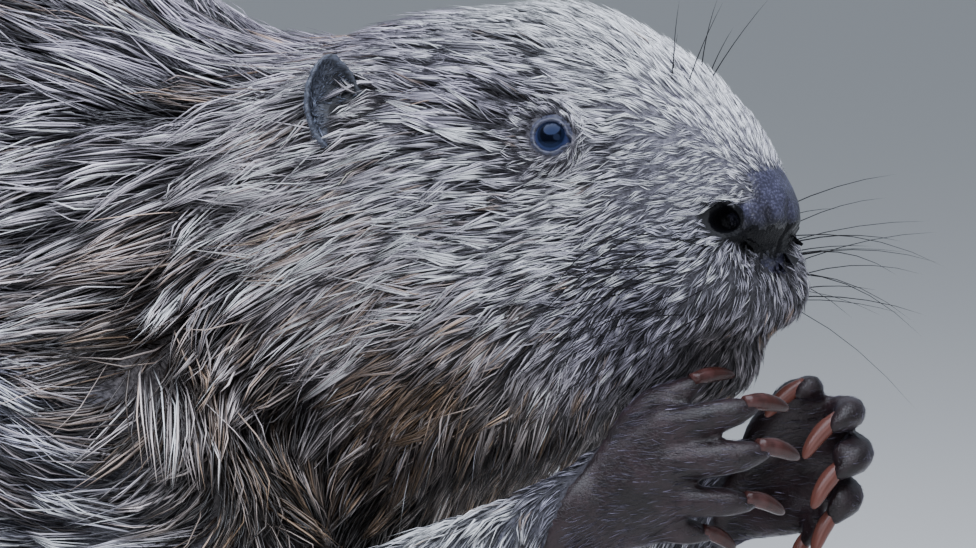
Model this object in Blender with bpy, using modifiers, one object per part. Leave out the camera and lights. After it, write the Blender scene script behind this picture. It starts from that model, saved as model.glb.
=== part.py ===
"""A beaver sitting on its haunches with both forepaws raised to its mouth, life size and still.

Metres. +X is the way it faces, +Y is its left, +Z is up and the floor is z = 0. While it is built, x = 0 is
the tip of the nose; the last step moves the middle of its bounding box onto the origin.
"""
import math

import bpy
import bmesh
import numpy as np
from mathutils import Matrix, Vector
from mathutils.bvhtree import BVHTree

GAP = 0.0004  # clear space between two neighbouring solids
SIDES = {"right": -1, "left": 1}

# The body from rump to crown, as upright sections: x, underside, widest height, top, half width.
BODY_SECTIONS = {
    "tail_stump": (-0.640, 0.006, 0.030, 0.056, 0.038),
    "tail_root": (-0.602, 0.001, 0.042, 0.100, 0.058),
    "rump": (-0.556, -0.003, 0.070, 0.180, 0.092),
    "hips": (-0.502, -0.004, 0.105, 0.264, 0.121),
    "loin": (-0.437, -0.004, 0.130, 0.329, 0.139),
    "back": (-0.362, -0.004, 0.145, 0.361, 0.141),
    "ribs": (-0.292, -0.002, 0.160, 0.361, 0.129),
    "shoulder": (-0.238, 0.016, 0.180, 0.334, 0.112),
    "withers": (-0.200, 0.056, 0.200, 0.317, 0.094),
    "neck": (-0.170, 0.102, 0.222, 0.3115, 0.080),
    "nape": (-0.140, 0.140, 0.236, 0.3185, 0.070),
    "crown": (-0.100, 0.168, 0.236, 0.3220, 0.058),
}
# The head from crown to muzzle, in the same terms.
HEAD_SECTIONS = {
    "occiput": (-0.150, 0.180, 0.240, 0.3110, 0.058),
    "crown": (-0.120, 0.170, 0.238, 0.3200, 0.062),
    "forehead": (-0.092, 0.176, 0.236, 0.3240, 0.057),
    "brow": (-0.070, 0.186, 0.236, 0.3235, 0.050),
    "stop": (-0.052, 0.197, 0.238, 0.3175, 0.043),
    "bridge": (-0.034, 0.206, 0.240, 0.3065, 0.037),
    "muzzle": (-0.020, 0.214, 0.242, 0.2950, 0.031),
    "snout": (-0.009, 0.222, 0.245, 0.2800, 0.024),
    "snout_end": (-0.002, 0.232, 0.248, 0.2650, 0.013),
}
HEAD_FULLNESS = 0.78  # a broad crown, flat between the ears
# Rounded masses of flesh: centre and the three half sizes. Those off the mid plane are on both sides.
MASSES = {
    "nose_pad": ((-0.0125, 0.000, 0.2575), (0.0145, 0.0195, 0.0175)),
    "upper_lip": ((-0.0180, 0.014, 0.2370), (0.0195, 0.0165, 0.0170)),
    "whisker_pad": ((-0.0330, 0.023, 0.2390), (0.0240, 0.0170, 0.0230)),
    "chin": ((-0.0360, 0.000, 0.2125), (0.0270, 0.0230, 0.0150)),
    "cheek": ((-0.0880, 0.030, 0.2240), (0.0500, 0.0290, 0.0430)),
    "brow_ridge": ((-0.0660, 0.024, 0.2900), (0.0260, 0.0150, 0.0150)),
    "ear_base": ((-0.1380, 0.036, 0.2760), (0.0300, 0.0220, 0.0260)),
    "shoulder": ((-0.2200, 0.058, 0.1750), (0.0660, 0.0560, 0.0880)),
    "chest": ((-0.2150, 0.000, 0.1350), (0.0700, 0.0850, 0.0900)),
    "haunch": ((-0.4000, 0.090, 0.1080), (0.1260, 0.0700, 0.1120)),
    "knee": ((-0.3120, 0.104, 0.0720), (0.0600, 0.0450, 0.0660)),
}

# Forelimbs.
SHOULDER = Vector((-0.200, 0.078, 0.192))
ELBOW = Vector((-0.136, 0.074, 0.121))
UPPER_ARM_RADII = (0.046, 0.034)
FOREARM_RADII = (0.0275, 0.0195, 0.0135)
# The left hand reaches further round what they hold, so its wrist and the end of its palm lie further forward.
WRISTS = {"right": Vector((-0.0480, 0.0420, 0.1730)), "left": Vector((-0.0400, 0.0440, 0.1700))}
PALM_ENDS = {"right": Vector((-0.0215, 0.0365, 0.1865)), "left": Vector((-0.0080, 0.0385, 0.1840))}
# Each digit: knuckle offset from the end of the palm, rise in degrees, length, radius and claw length.
DIGITS = {
    1: ((-0.0070, -0.0050, 0.0165), 28, 0.0150, 0.0043, 0.0125),
    2: ((-0.0005, 0.0000, 0.0105), 15, 0.0265, 0.0047, 0.0135),
    3: ((0.0000, 0.0010, -0.0005), 9, 0.0295, 0.0050, 0.0135),
    4: ((-0.0010, 0.0000, -0.0115), 1, 0.0260, 0.0044, 0.0130),
    5: ((-0.0070, -0.0040, -0.0195), -8, 0.0165, 0.0041, 0.0110),
}
# How the digits bend inwards and down, in degrees: at the knuckle, more at each of the two joints, and the drop
# by the last joint.
FINGER_CURL = {"right": (10, 17, 4), "left": (14, 42, 34)}

# Hind feet.
HEEL = Vector((-0.372, 0.094, 0.0150))
TOE_BASE = Vector((-0.292, 0.112, 0.0110))
FOOT_TURN = 12  # degrees that the foot points outwards
TOE_SPREAD = (-22, -11, 0, 11, 22)  # of each toe from the foot's own line, inner toe first
TOE_LENGTHS = (0.052, 0.068, 0.078, 0.080, 0.068)
TOE_RADIUS = 0.0064
WEB_HALF_THICK = 0.0036
# The web between the toes: how far ahead of the toes' roots, half width, share of its thickness.
WEB = ((-0.012, 0.022, 1.0), (0.010, 0.030, 0.95), (0.030, 0.0375, 0.85), (0.048, 0.0430, 0.75), (0.061, 0.0440, 0.65),
       (0.069, 0.0370, 0.5))
TOE_CLAW = 0.0150

# The tail's paddle, lying on the floor: x, half width, top.
TAIL_SECTIONS = {
    "root": (-0.590, 0.034, 0.060),
    "wrist": (-0.622, 0.037, 0.047),
    "spread": (-0.656, 0.048, 0.034),
    "blade": (-0.702, 0.060, 0.0250),
    "widest": (-0.757, 0.064, 0.0205),
    "taper": (-0.807, 0.056, 0.0165),
    "tip": (-0.840, 0.037, 0.0125),
    "end": (-0.854, 0.014, 0.0090),
}

EYE_RADIUS = 0.0070
EYE_AIM = Vector((-0.0596, 0.0, 0.2835))  # x and height of the eyes
EYE_SHOWS = 0.0026  # how far the ball stands out of the coat
EAR_AIM = Vector((-0.1320, 0.0, 0.2930))
EAR_SIZE = (0.0125, 0.0026, 0.0158)  # half breadth, half thickness, half height of the shell
NOSE_CUT = ((-0.0080, 0.000, 0.2575), (0.0195, 0.0260, 0.0182))

# Where the head, neck and trunk part: a point on the mid plane, and the lean of the cut in degrees.
HEAD_CUT = (Vector((-0.134, 0.0, 0.250)), 22)
NECK_CUT = (Vector((-0.182, 0.0, 0.230)), 22)

PALETTE = {
    "coat": ((0.20, 0.165, 0.145), 0.80),
    "bare_skin": ((0.060, 0.050, 0.052), 0.55),
    "scales": ((0.050, 0.043, 0.040), 0.60),
    "claw": ((0.30, 0.15, 0.11), 0.35),
    "eyeball": ((0.010, 0.010, 0.015), 0.08),
}


# ---- helpers ----
def clear_scene():
    for obj in list(bpy.data.objects):
        bpy.data.objects.remove(obj)


def new_collection(name):
    collection = bpy.data.collections.new(name)
    bpy.context.scene.collection.children.link(collection)
    return collection


def make_material(name):
    colour, roughness = PALETTE[name]
    material = bpy.data.materials.new(name)
    material.use_nodes = True
    shader = material.node_tree.nodes["Principled BSDF"]
    shader.inputs["Base Color"].default_value = (*colour, 1.0)
    shader.inputs["Roughness"].default_value = roughness
    return material


def smooth_rows(rows, per_step):
    """Rows of numbers joined by a Catmull-Rom curve, with per_step rows for each stretch."""
    rows = np.array(rows, float)
    ends = np.vstack([2 * rows[0] - rows[1], rows, 2 * rows[-1] - rows[-2]])
    found = []
    for i in range(len(rows) - 1):
        a, b, c, d = ends[i : i + 4]
        for t in np.arange(per_step) / per_step:
            found.append(
                0.5 * (2 * b + (c - a) * t + (2 * a - 5 * b + 4 * c - d) * t**2 + (3 * b - a - 3 * c + d) * t**3)
            )
    return np.array(found + [rows[-1]])


def add_loft(bm, rings):
    """One closed shell through rings of points, each end closed by a fan."""
    layers = [[bm.verts.new(p) for p in ring] for ring in rings]
    count = len(layers[0])
    for lower, upper in zip(layers, layers[1:]):
        for i in range(count):
            j = (i + 1) % count
            bm.faces.new((lower[i], lower[j], upper[j], upper[i]))
    for layer, flip in ((layers[0], True), (layers[-1], False)):
        middle = bm.verts.new(sum((v.co for v in layer), Vector()) / count)
        for i in range(count):
            a, b = layer[i], layer[(i + 1) % count]
            bm.faces.new((b, a, middle) if flip else (a, b, middle))


def upright_section(fullness, x, low, wide, high, half, sides=40):
    """A pear-shaped section across the body at x, widest at the height wide. fullness under 1 squares its upper half."""
    ring = []
    for i in range(sides):
        angle = 2 * math.pi * i / sides
        upper = math.sin(angle) > 0
        reach = (high - wide) if upper else (wide - low)
        side = math.copysign(abs(math.cos(angle)) ** (fullness if upper else 1.0), math.cos(angle))
        ring.append(Vector((x, half * side, wide + reach * math.sin(angle))))
    return ring


def add_body_loft(bm, sections, fullness=1.0, per_step=4):
    rows = smooth_rows(list(sections.values()), per_step)
    add_loft(bm, [upright_section(fullness, *row) for row in rows])


def add_ellipsoid(bm, centre, halves, sides=20):
    made = bmesh.ops.create_uvsphere(bm, u_segments=sides, v_segments=sides // 2 + 2, radius=1.0)
    place = Matrix.Translation(centre) @ Matrix.Diagonal((*halves, 1.0))
    bmesh.ops.transform(bm, matrix=place, verts=made["verts"])


def add_tube(bm, points, radii, per_step=4, sides=16, flat=1.0, flat_axis=None):
    """A round limb through points, with domed ends. flat squashes it along flat_axis."""
    rows = smooth_rows([(*p, r) for p, r in zip(points, radii)], per_step)
    centres = [Vector(row[:3]) for row in rows]
    reaches = [float(row[3]) for row in rows]
    start = (centres[0] - centres[1]).normalized()
    finish = (centres[-1] - centres[-2]).normalized()
    dome = (25, 50, 72)
    before = [(centres[0] + start * reaches[0] * math.sin(math.radians(a)), reaches[0] * math.cos(math.radians(a)))
              for a in reversed(dome)]
    after = [(centres[-1] + finish * reaches[-1] * math.sin(math.radians(a)), reaches[-1] * math.cos(math.radians(a)))
             for a in dome]
    spine = before + list(zip(centres, reaches)) + after
    rings = []
    side = None
    for i, (centre, radius) in enumerate(spine):
        ahead = spine[min(i + 1, len(spine) - 1)][0] - spine[max(i - 1, 0)][0]
        along = ahead.normalized()
        if side is None:
            side = along.orthogonal().normalized()
        side = (side - along * side.dot(along)).normalized()
        other = along.cross(side)
        ring = []
        for k in range(sides):
            angle = 2 * math.pi * k / sides
            offset = (side * math.cos(angle) + other * math.sin(angle)) * radius
            if flat_axis is not None:
                offset -= flat_axis * offset.dot(flat_axis) * (1 - flat)
            ring.append(centre + offset)
        rings.append(ring)
    add_loft(bm, rings)


def new_object(name, bm, collection):
    bmesh.ops.recalc_face_normals(bm, faces=bm.faces)
    mesh = bpy.data.meshes.new(name)
    bm.to_mesh(mesh)
    bm.free()
    obj = bpy.data.objects.new(name, mesh)
    collection.objects.link(obj)
    return obj


def settle(obj):
    """Makes the object's modifiers part of its mesh."""
    graph = bpy.context.evaluated_depsgraph_get()
    mesh = bpy.data.meshes.new_from_object(obj.evaluated_get(graph))
    obj.modifiers.clear()
    obj.data = mesh
    return obj


def fuse(obj, voxel, smoothing, triangles):
    """Melts the object's shells into one skin above the floor, softens it, and thins it to about that many triangles."""
    remesh = obj.modifiers.new("melt", "REMESH")
    remesh.mode = "VOXEL"
    remesh.voxel_size = voxel
    soften = obj.modifiers.new("soften", "SMOOTH")
    soften.factor = 0.5
    soften.iterations = smoothing
    keep_above_floor(settle(obj))
    thin = obj.modifiers.new("thin", "DECIMATE")
    thin.ratio = triangles / (2 * len(obj.data.polygons))
    return keep_above_floor(settle(obj))


def boolean(obj, cutter, operation):
    step = obj.modifiers.new(operation.lower(), "BOOLEAN")
    step.operation = operation
    step.solver = "EXACT"
    step.use_self = True
    step.object = cutter
    return settle(obj)


def clear_of(obj, neighbours):
    """Cuts the object back from each grown neighbour, so that the two meet with a gap."""
    for neighbour in neighbours:
        boolean(obj, neighbour, "DIFFERENCE")
    return obj


def copy_of(obj, name, collection):
    made = bpy.data.objects.new(name, obj.data.copy())
    collection.objects.link(made)
    return made


def grown(obj, distance, collection):
    """A copy with its surface moved outwards by distance, to cut neighbours clear of it."""
    made = copy_of(obj, obj.name + "_grown", collection)
    push = made.modifiers.new("push", "DISPLACE")
    push.mid_level = 0.0
    push.strength = distance
    return settle(made)


def half_space(name, point, lean, collection):
    """A block with one face through point, that holds all that is in front of it. lean tips its face."""
    bm = bmesh.new()
    side = 1.6
    bmesh.ops.create_cube(bm, size=side)
    bmesh.ops.translate(bm, verts=bm.verts, vec=(side / 2, 0, 0))
    bmesh.ops.rotate(bm, verts=bm.verts, matrix=Matrix.Rotation(math.radians(-lean), 3, "Y"))
    bmesh.ops.translate(bm, verts=bm.verts, vec=point)
    return new_object(name, bm, collection)


def keep_above_floor(obj):
    """Cuts off what would reach below the floor, which leaves small flats at z = 0."""
    bm = bmesh.new()
    bm.from_mesh(obj.data)
    found = bmesh.ops.bisect_plane(
        bm, geom=[*bm.verts, *bm.edges, *bm.faces], plane_co=(0, 0, 0), plane_no=(0, 0, -1), clear_outer=True
    )
    rim = [e for e in found["geom_cut"] if isinstance(e, bmesh.types.BMEdge)]
    if rim:
        bmesh.ops.holes_fill(bm, edges=[e for e in bm.edges if e.is_boundary])
        bmesh.ops.triangulate(bm, faces=[f for f in bm.faces if len(f.verts) > 4])
    bm.to_mesh(obj.data)
    bm.free()
    return obj


def surface_hit(obj, start, direction):
    tree = BVHTree.FromObject(obj, bpy.context.evaluated_depsgraph_get())
    point, normal, _, _ = tree.ray_cast(start, direction)
    return point, normal


def mirrored(point, sign):
    return Vector((point[0], point[1] * sign, point[2]))


# ---- body ----
def make_flesh(name, triangles, collection):
    """Trunk, neck, head, upper arms and haunches as one skin."""
    bm = bmesh.new()
    add_body_loft(bm, BODY_SECTIONS)
    add_body_loft(bm, HEAD_SECTIONS, HEAD_FULLNESS)
    for centre, halves in MASSES.values():
        for sign in (1, -1) if centre[1] else (1,):
            add_ellipsoid(bm, mirrored(centre, sign), halves)
    for sign in SIDES.values():
        points = [mirrored(p, sign) for p in (SHOULDER, ELBOW)]
        add_tube(bm, points, UPPER_ARM_RADII, per_step=6, sides=24)
    return fuse(new_object(name, bm, collection), 0.0034, 9, triangles)


def arm_region(sign, extra, collection):
    bm = bmesh.new()
    points = [mirrored(p, sign) for p in (SHOULDER + Vector((0.010, 0.030, -0.016)), ELBOW)]
    radii = [r + extra for r in (0.044, 0.0365)]
    add_tube(bm, points, radii, per_step=2, sides=12)
    return new_object(f"arm_region_{sign}_{extra}", bm, collection)


def haunch_region(sign, extra, collection):
    bm = bmesh.new()
    halves = [h + extra for h in (0.132, 0.066, 0.108)]
    add_ellipsoid(bm, (-0.385, 0.138 * sign, 0.101), halves, sides=14)
    return new_object(f"haunch_region_{sign}_{extra}", bm, collection)


def nose_region(extra, collection):
    bm = bmesh.new()
    add_ellipsoid(bm, NOSE_CUT[0], [h + extra for h in NOSE_CUT[1]], sides=12)
    return new_object(f"nose_region_{extra}", bm, collection)


# ---- forelimbs ----
def digit_path(side, number):
    """The digit's joints, and the direction in which its claw leaves the last of them."""
    offset, rise, length, _, _ = DIGITS[number]
    first, step, drop = FINGER_CURL[side]
    point = PALM_ENDS[side] + Vector(offset)
    joints = [point]
    for i, share in enumerate((0.42, 0.32, 0.26, 0.0)):
        heading = math.radians(first + step * i)
        lift = math.radians(rise - drop * i / 2)
        ahead = Vector((math.cos(heading) * math.cos(lift), -math.sin(heading) * math.cos(lift), math.sin(lift)))
        if share:
            point = point + ahead * length * share
            joints.append(point)
    sign = SIDES[side]
    return [mirrored(p, sign) for p in joints], mirrored(ahead, sign)


def make_forelimb(side, collection):
    sign = SIDES[side]
    inwards = Vector((0.10, -sign, 0)).normalized()
    bm = bmesh.new()
    wrist = WRISTS[side]
    arm = [mirrored(p, sign) for p in (ELBOW, ELBOW.lerp(wrist, 0.55), wrist)]
    add_tube(bm, arm, FOREARM_RADII, sides=20)
    for knuckle, heel_rise, radius in ((1, 0.004, 0.0060), (2, 0.003, 0.0072), (3, 0.0, 0.0078), (4, -0.003, 0.0070),
                                       (5, -0.005, 0.0062)):
        start = mirrored(wrist + Vector((0.002, 0.0, heel_rise)), sign)
        joints, _ = digit_path(side, knuckle)
        add_tube(bm, (start, joints[0]), (0.0105, radius), sides=14, flat=0.85, flat_axis=inwards)
    for number, (_, _, _, radius, _) in DIGITS.items():
        joints, _ = digit_path(side, number)
        start = joints[0].lerp(mirrored(wrist, sign), 0.25)
        add_tube(bm, [start, *joints], (radius * 1.12, radius * 1.12, radius * 1.06, radius, radius * 0.84), sides=14)
    limb = new_object("forelimb_" + side, bm, collection)
    return fuse(limb, 0.0011, 5, 880)


def make_claw(name, start, ahead, down, length, width, height, collection):
    """A curved, tapering claw that leaves start along ahead and bends towards down."""
    bm = bmesh.new()
    across = ahead.cross(down).normalized()
    rings = []
    for share in (-0.30, 0.30, 0.92):
        centre = start + ahead * length * share + down * length * 0.16 * max(share, 0) ** 2
        taper = math.sqrt(max(1 - max(share, 0) ** 2.2, 0.03))
        rings.append([
            centre + across * (width * taper * math.cos(a)) - down * (height * taper * math.sin(a))
            for a in (2 * math.pi * k / 7 for k in range(7))
        ])
    add_loft(bm, rings)
    return new_object(name, bm, collection)


# ---- hind feet ----
def foot_frame(sign):
    turn = math.radians(FOOT_TURN)
    return Vector((math.cos(turn), math.sin(turn) * sign, 0))


def toe_path(sign, index):
    turn = math.radians(FOOT_TURN + TOE_SPREAD[index])
    ahead = Vector((math.cos(turn), math.sin(turn) * sign, 0))
    across = Vector((-math.sin(turn), math.cos(turn) * sign, 0))
    base = mirrored(TOE_BASE, sign) + across * (index - 2) * 0.0085 - ahead * 0.006
    length = TOE_LENGTHS[index]
    knuckle = base + ahead * length * 0.55 + Vector((0, 0, 0.0018))
    tip = base + ahead * length
    return [base, knuckle, Vector((tip.x, tip.y, TOE_RADIUS * 0.72))], ahead


def web_section(sign, reach, half_wide, half_thick):
    ahead = foot_frame(sign)
    across = Vector((-ahead.y * sign, ahead.x * sign, 0)) * sign
    centre = mirrored(TOE_BASE, sign) + ahead * reach
    ring = []
    for k in range(28):
        angle = 2 * math.pi * k / 28
        rise = max(half_thick, 0.0005)
        ring.append(Vector((centre.x, centre.y, rise - 0.0010))
                    + across * half_wide * math.cos(angle) + Vector((0, 0, rise * math.sin(angle))))
    return ring


def make_foot(side, collection):
    sign = SIDES[side]
    bm = bmesh.new()
    heel = mirrored(HEEL, sign)
    base = mirrored(TOE_BASE, sign)
    add_tube(bm, (heel, heel.lerp(base, 0.5) + Vector((0, 0, 0.003)), base), (0.021, 0.0200, 0.0165), sides=18,
             flat=0.80, flat_axis=Vector((0, 0, 1)))
    add_tube(bm, (heel, heel.lerp(base, 0.6) + Vector((0, 0, 0.002)), base), (0.018, 0.0215, 0.0270), sides=18,
             flat=0.46, flat_axis=Vector((0, 0, 1)))
    for index in range(5):
        joints, _ = toe_path(sign, index)
        add_tube(bm, joints, (TOE_RADIUS * 1.15, TOE_RADIUS, TOE_RADIUS * 0.86), sides=12)
    add_loft(bm, [web_section(sign, reach, half, WEB_HALF_THICK * share) for reach, half, share in WEB])
    return fuse(new_object("foot_" + side, bm, collection), 0.0014, 3, 520)


# ---- tail, ears and eyes ----
def make_tail(collection):
    rows = smooth_rows(list(TAIL_SECTIONS.values()), 3)
    bm = bmesh.new()
    rings = []
    for x, half, top in rows:
        ring = []
        for k in range(24):
            angle = 2 * math.pi * k / 24
            rise = math.sin(angle)
            height = 0.002 + (top - 0.002) * rise if rise > 0 else 0.002 + 0.005 * rise
            edge = math.copysign(abs(math.cos(angle)) ** 0.85, math.cos(angle))
            ring.append(Vector((x, half * edge, height)))
        rings.append(ring)
    add_loft(bm, rings)
    tail = new_object("tail", bm, collection)
    thin = tail.modifiers.new("thin", "DECIMATE")
    thin.ratio = 0.3
    return keep_above_floor(settle(tail))


def make_ear(side, head, collection):
    """A short rounded shell, hollowed in front, standing on the side of the head."""
    sign = SIDES[side]
    seat, _ = surface_hit(head, mirrored(EAR_AIM + Vector((0, 0.2, 0)), sign), Vector((0, -sign, 0)))
    breadth, thick, height = EAR_SIZE
    bm = bmesh.new()
    bmesh.ops.create_uvsphere(bm, u_segments=12, v_segments=8, radius=1.0)
    bmesh.ops.scale(bm, vec=(breadth, thick, height), verts=bm.verts)
    for vert in bm.verts:
        vert.co.y -= 0.0062 * (vert.co.x / breadth) ** 2
    # The open side faces forwards and outwards, and the tip leans back.
    bmesh.ops.rotate(bm, verts=bm.verts, matrix=Matrix.Rotation(math.radians(122), 3, "Z"))
    bmesh.ops.rotate(bm, verts=bm.verts, matrix=Matrix.Rotation(math.radians(-20), 3, "Y"))
    bmesh.ops.rotate(bm, verts=bm.verts, matrix=Matrix.Rotation(math.radians(-8), 3, "X"))
    bmesh.ops.translate(bm, verts=bm.verts, vec=(0, 0.0035, 0))
    if sign < 0:
        bmesh.ops.scale(bm, vec=(1, -1, 1), verts=bm.verts)
    bmesh.ops.translate(bm, verts=bm.verts, vec=seat)
    return new_object("ear_" + side, bm, collection)


def make_eye(name, centre, radius, collection):
    bm = bmesh.new()
    bmesh.ops.create_uvsphere(bm, u_segments=12, v_segments=8, radius=radius)
    bmesh.ops.translate(bm, verts=bm.verts, vec=centre)
    return new_object(name, bm, collection)


def finish(obj, material, parts):
    """Moves a finished piece into the model's collection, with its material and soft shading."""
    for collection in obj.users_collection:
        collection.objects.unlink(obj)
    parts.objects.link(obj)
    obj.data.materials.clear()
    obj.data.materials.append(material)
    obj.data.shade_smooth()
    obj.data.set_sharp_from_angle(angle=math.radians(50))
    obj.hide_render = False


def centre_on_origin(parts):
    """Puts the middle of the whole model's box over the origin, on the floor."""
    corners = np.array([v.co for obj in parts.objects for v in obj.data.vertices])
    low, high = corners.min(axis=0), corners.max(axis=0)
    shift = Matrix.Translation((-(low[0] + high[0]) / 2, -(low[1] + high[1]) / 2, -low[2]))
    for obj in parts.objects:
        obj.data.transform(shift)


def main():
    clear_scene()
    parts = new_collection("beaver")
    helpers = new_collection("cutters")
    materials = {name: make_material(name) for name in PALETTE}

    fine = make_flesh("flesh_fine", 3500, helpers)
    plain = make_flesh("flesh_plain", 1340, helpers)
    body_grown = grown(plain, GAP, helpers)
    done = []

    # Limbs that are cut out of the body.
    for side, sign in SIDES.items():
        for name, region in (("upper_arm_", arm_region), ("thigh_", haunch_region)):
            limb = boolean(copy_of(plain, name + side, helpers), region(sign, 0.0, helpers), "INTERSECT")
            done.append((limb, "coat"))
            for body in (plain, fine):
                boolean(body, region(sign, GAP, helpers), "DIFFERENCE")

    # Head, neck and trunk.
    head_point, head_lean = HEAD_CUT
    neck_point, neck_lean = NECK_CUT
    head = boolean(copy_of(fine, "head", helpers), half_space("ahead_of_neck", head_point, head_lean, helpers),
                   "INTERSECT")
    behind = Vector((GAP, 0, 0))
    neck = boolean(copy_of(plain, "neck", helpers),
                   half_space("ahead_of_trunk", neck_point, neck_lean, helpers), "INTERSECT")
    boolean(neck, half_space("ahead_of_neck_gap", head_point - behind, head_lean, helpers), "DIFFERENCE")
    trunk = boolean(copy_of(plain, "trunk", helpers),
                    half_space("ahead_of_trunk_gap", neck_point - behind, neck_lean, helpers), "DIFFERENCE")
    head_grown = grown(head, GAP, helpers)
    nose = boolean(copy_of(head, "nose", helpers), nose_region(0.0, helpers), "INTERSECT")
    boolean(head, nose_region(GAP, helpers), "DIFFERENCE")

    # Ears and eyes.
    for side, sign in SIDES.items():
        ear = make_ear(side, fine, helpers)
        done.append((clear_of(ear, [head_grown, body_grown]), "coat"))
        start = mirrored(EYE_AIM + Vector((0, 0.2, 0)), sign)
        point, normal = surface_hit(head, start, Vector((0, -sign, 0)))
        centre = point - normal * (EYE_RADIUS - EYE_SHOWS)
        boolean(head, make_eye(f"eye_room_{side}", centre, EYE_RADIUS + GAP, helpers), "DIFFERENCE")
        done.append((make_eye(f"eye_{side}", centre, EYE_RADIUS, helpers), "eyeball"))
    done += [(head, "coat"), (neck, "coat"), (trunk, "coat"), (nose, "bare_skin")]

    # Forearms, hands and their claws.
    for side, sign in SIDES.items():
        limb = clear_of(make_forelimb(side, helpers), [head_grown, body_grown])
        limb_grown = grown(limb, GAP, helpers)
        wrist = WRISTS[side]
        hand = boolean(copy_of(limb, "hand_" + side, helpers),
                       half_space("wrist_" + side, Vector((wrist.x, 0, wrist.z)), -20, helpers), "INTERSECT")
        arm = boolean(copy_of(limb, "forearm_" + side, helpers),
                      half_space("wrist_gap_" + side, Vector((wrist.x - GAP, 0, wrist.z)), -20, helpers),
                      "DIFFERENCE")
        done += [(hand, "bare_skin"), (arm, "coat")]
        for number, (_, _, _, radius, length) in DIGITS.items():
            joints, ahead = digit_path(side, number)
            last = joints[-1] + ahead * radius * 0.55
            inward = Vector((0, -sign, -0.25))
            inward = (inward - ahead * inward.dot(ahead)).normalized()
            claw = make_claw(f"claw_hand_{side}_{number}", last - inward * radius * 0.16, ahead, inward, length,
                             radius * 0.52, radius * 0.44, helpers)
            done.append((clear_of(claw, [limb, limb_grown, head_grown]), "claw"))

    # Hind feet and their claws.
    for side, sign in SIDES.items():
        foot = clear_of(make_foot(side, helpers), [body_grown])
        foot_grown = grown(foot, GAP, helpers)
        done.append((foot, "bare_skin"))
        for index in range(5):
            joints, ahead = toe_path(sign, index)
            start = joints[-1] + ahead * TOE_RADIUS * 0.5 + Vector((0, 0, 0.0016))
            claw = make_claw(f"claw_foot_{side}_{index + 1}", start, ahead, Vector((0, 0, -1)), TOE_CLAW,
                             TOE_RADIUS * 0.52, TOE_RADIUS * 0.46, helpers)
            done.append((clear_of(claw, [foot, foot_grown]), "claw"))

    tail = clear_of(make_tail(helpers), [body_grown])
    done.append((tail, "scales"))

    for obj, material in done:
        finish(obj, materials[material], parts)
    for obj in helpers.objects:
        obj.hide_render = True
        obj.display_type = "WIRE"
    centre_on_origin(parts)


main()
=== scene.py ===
# The looks of a life-size sitting beaver: one skin over all the flesh, a wet coat of pointed locks,
# eyes, claws, whiskers and tail scales, on a plain floor in soft studio light.
import math

import bpy
import bmesh
import numpy as np
from mathutils import Matrix, Vector
from mathutils.bvhtree import BVHTree
from mathutils.kdtree import KDTree
from mathutils.noise import noise_vector, seed_set


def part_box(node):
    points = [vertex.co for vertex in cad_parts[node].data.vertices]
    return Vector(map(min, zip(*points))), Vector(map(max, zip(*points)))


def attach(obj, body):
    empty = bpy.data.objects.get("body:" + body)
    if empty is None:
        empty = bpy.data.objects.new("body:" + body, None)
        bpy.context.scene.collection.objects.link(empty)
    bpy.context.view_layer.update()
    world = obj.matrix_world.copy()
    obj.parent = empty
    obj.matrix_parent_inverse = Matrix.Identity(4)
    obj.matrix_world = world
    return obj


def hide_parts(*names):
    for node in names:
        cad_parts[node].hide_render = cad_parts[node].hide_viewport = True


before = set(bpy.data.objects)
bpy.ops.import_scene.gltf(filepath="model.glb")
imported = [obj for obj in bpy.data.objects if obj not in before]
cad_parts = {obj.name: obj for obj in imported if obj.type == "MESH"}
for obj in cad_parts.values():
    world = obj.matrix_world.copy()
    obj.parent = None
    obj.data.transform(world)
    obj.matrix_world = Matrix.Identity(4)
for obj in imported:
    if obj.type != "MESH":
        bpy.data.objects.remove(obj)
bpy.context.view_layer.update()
seed_set(1)  # so that the coat swirls the same way each time

mm = 0.001
# Places on the animal are given from the tip of its nose, its mid plane and the floor.
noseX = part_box("nose")[1].x
sides = {"right": -1, "left": 1}
digits = range(1, 6)
bareNodes = ["nose", "tail"] + [f"{part}_{side}" for part in ("hand", "foot") for side in sides]
furredNodes = ["trunk", "neck", "head"] + [
    f"{part}_{side}" for part in ("ear", "upper_arm", "forearm", "thigh") for side in sides
]
fleshNodes = furredNodes + bareNodes


def report(stage):
    print("beaver:", stage, flush=True)


def hexColour(text, share=1.0):
    # sRGB hex to linear, made darker or lighter by share
    channels = [int(text[i : i + 2], 16) / 255 for i in (1, 3, 5)]
    return [share * (c / 12.92 if c <= 0.04045 else ((c + 0.055) / 1.055) ** 2.4) for c in channels]


def smoothStep(low, high, values):
    t = np.clip((np.asarray(values, float) - low) / (high - low), 0, 1)
    return t * t * (3 - 2 * t)


def bell(values, half):
    return np.exp(-((values / half) ** 2))


def unit(vectors):
    return vectors / np.maximum(np.linalg.norm(vectors, axis=-1, keepdims=True), 1e-12)


def dots(a, b):
    return np.sum(a * b, axis=-1, keepdims=True)


def inMm(points):
    return (points - (noseX, 0, 0)) / mm


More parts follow.
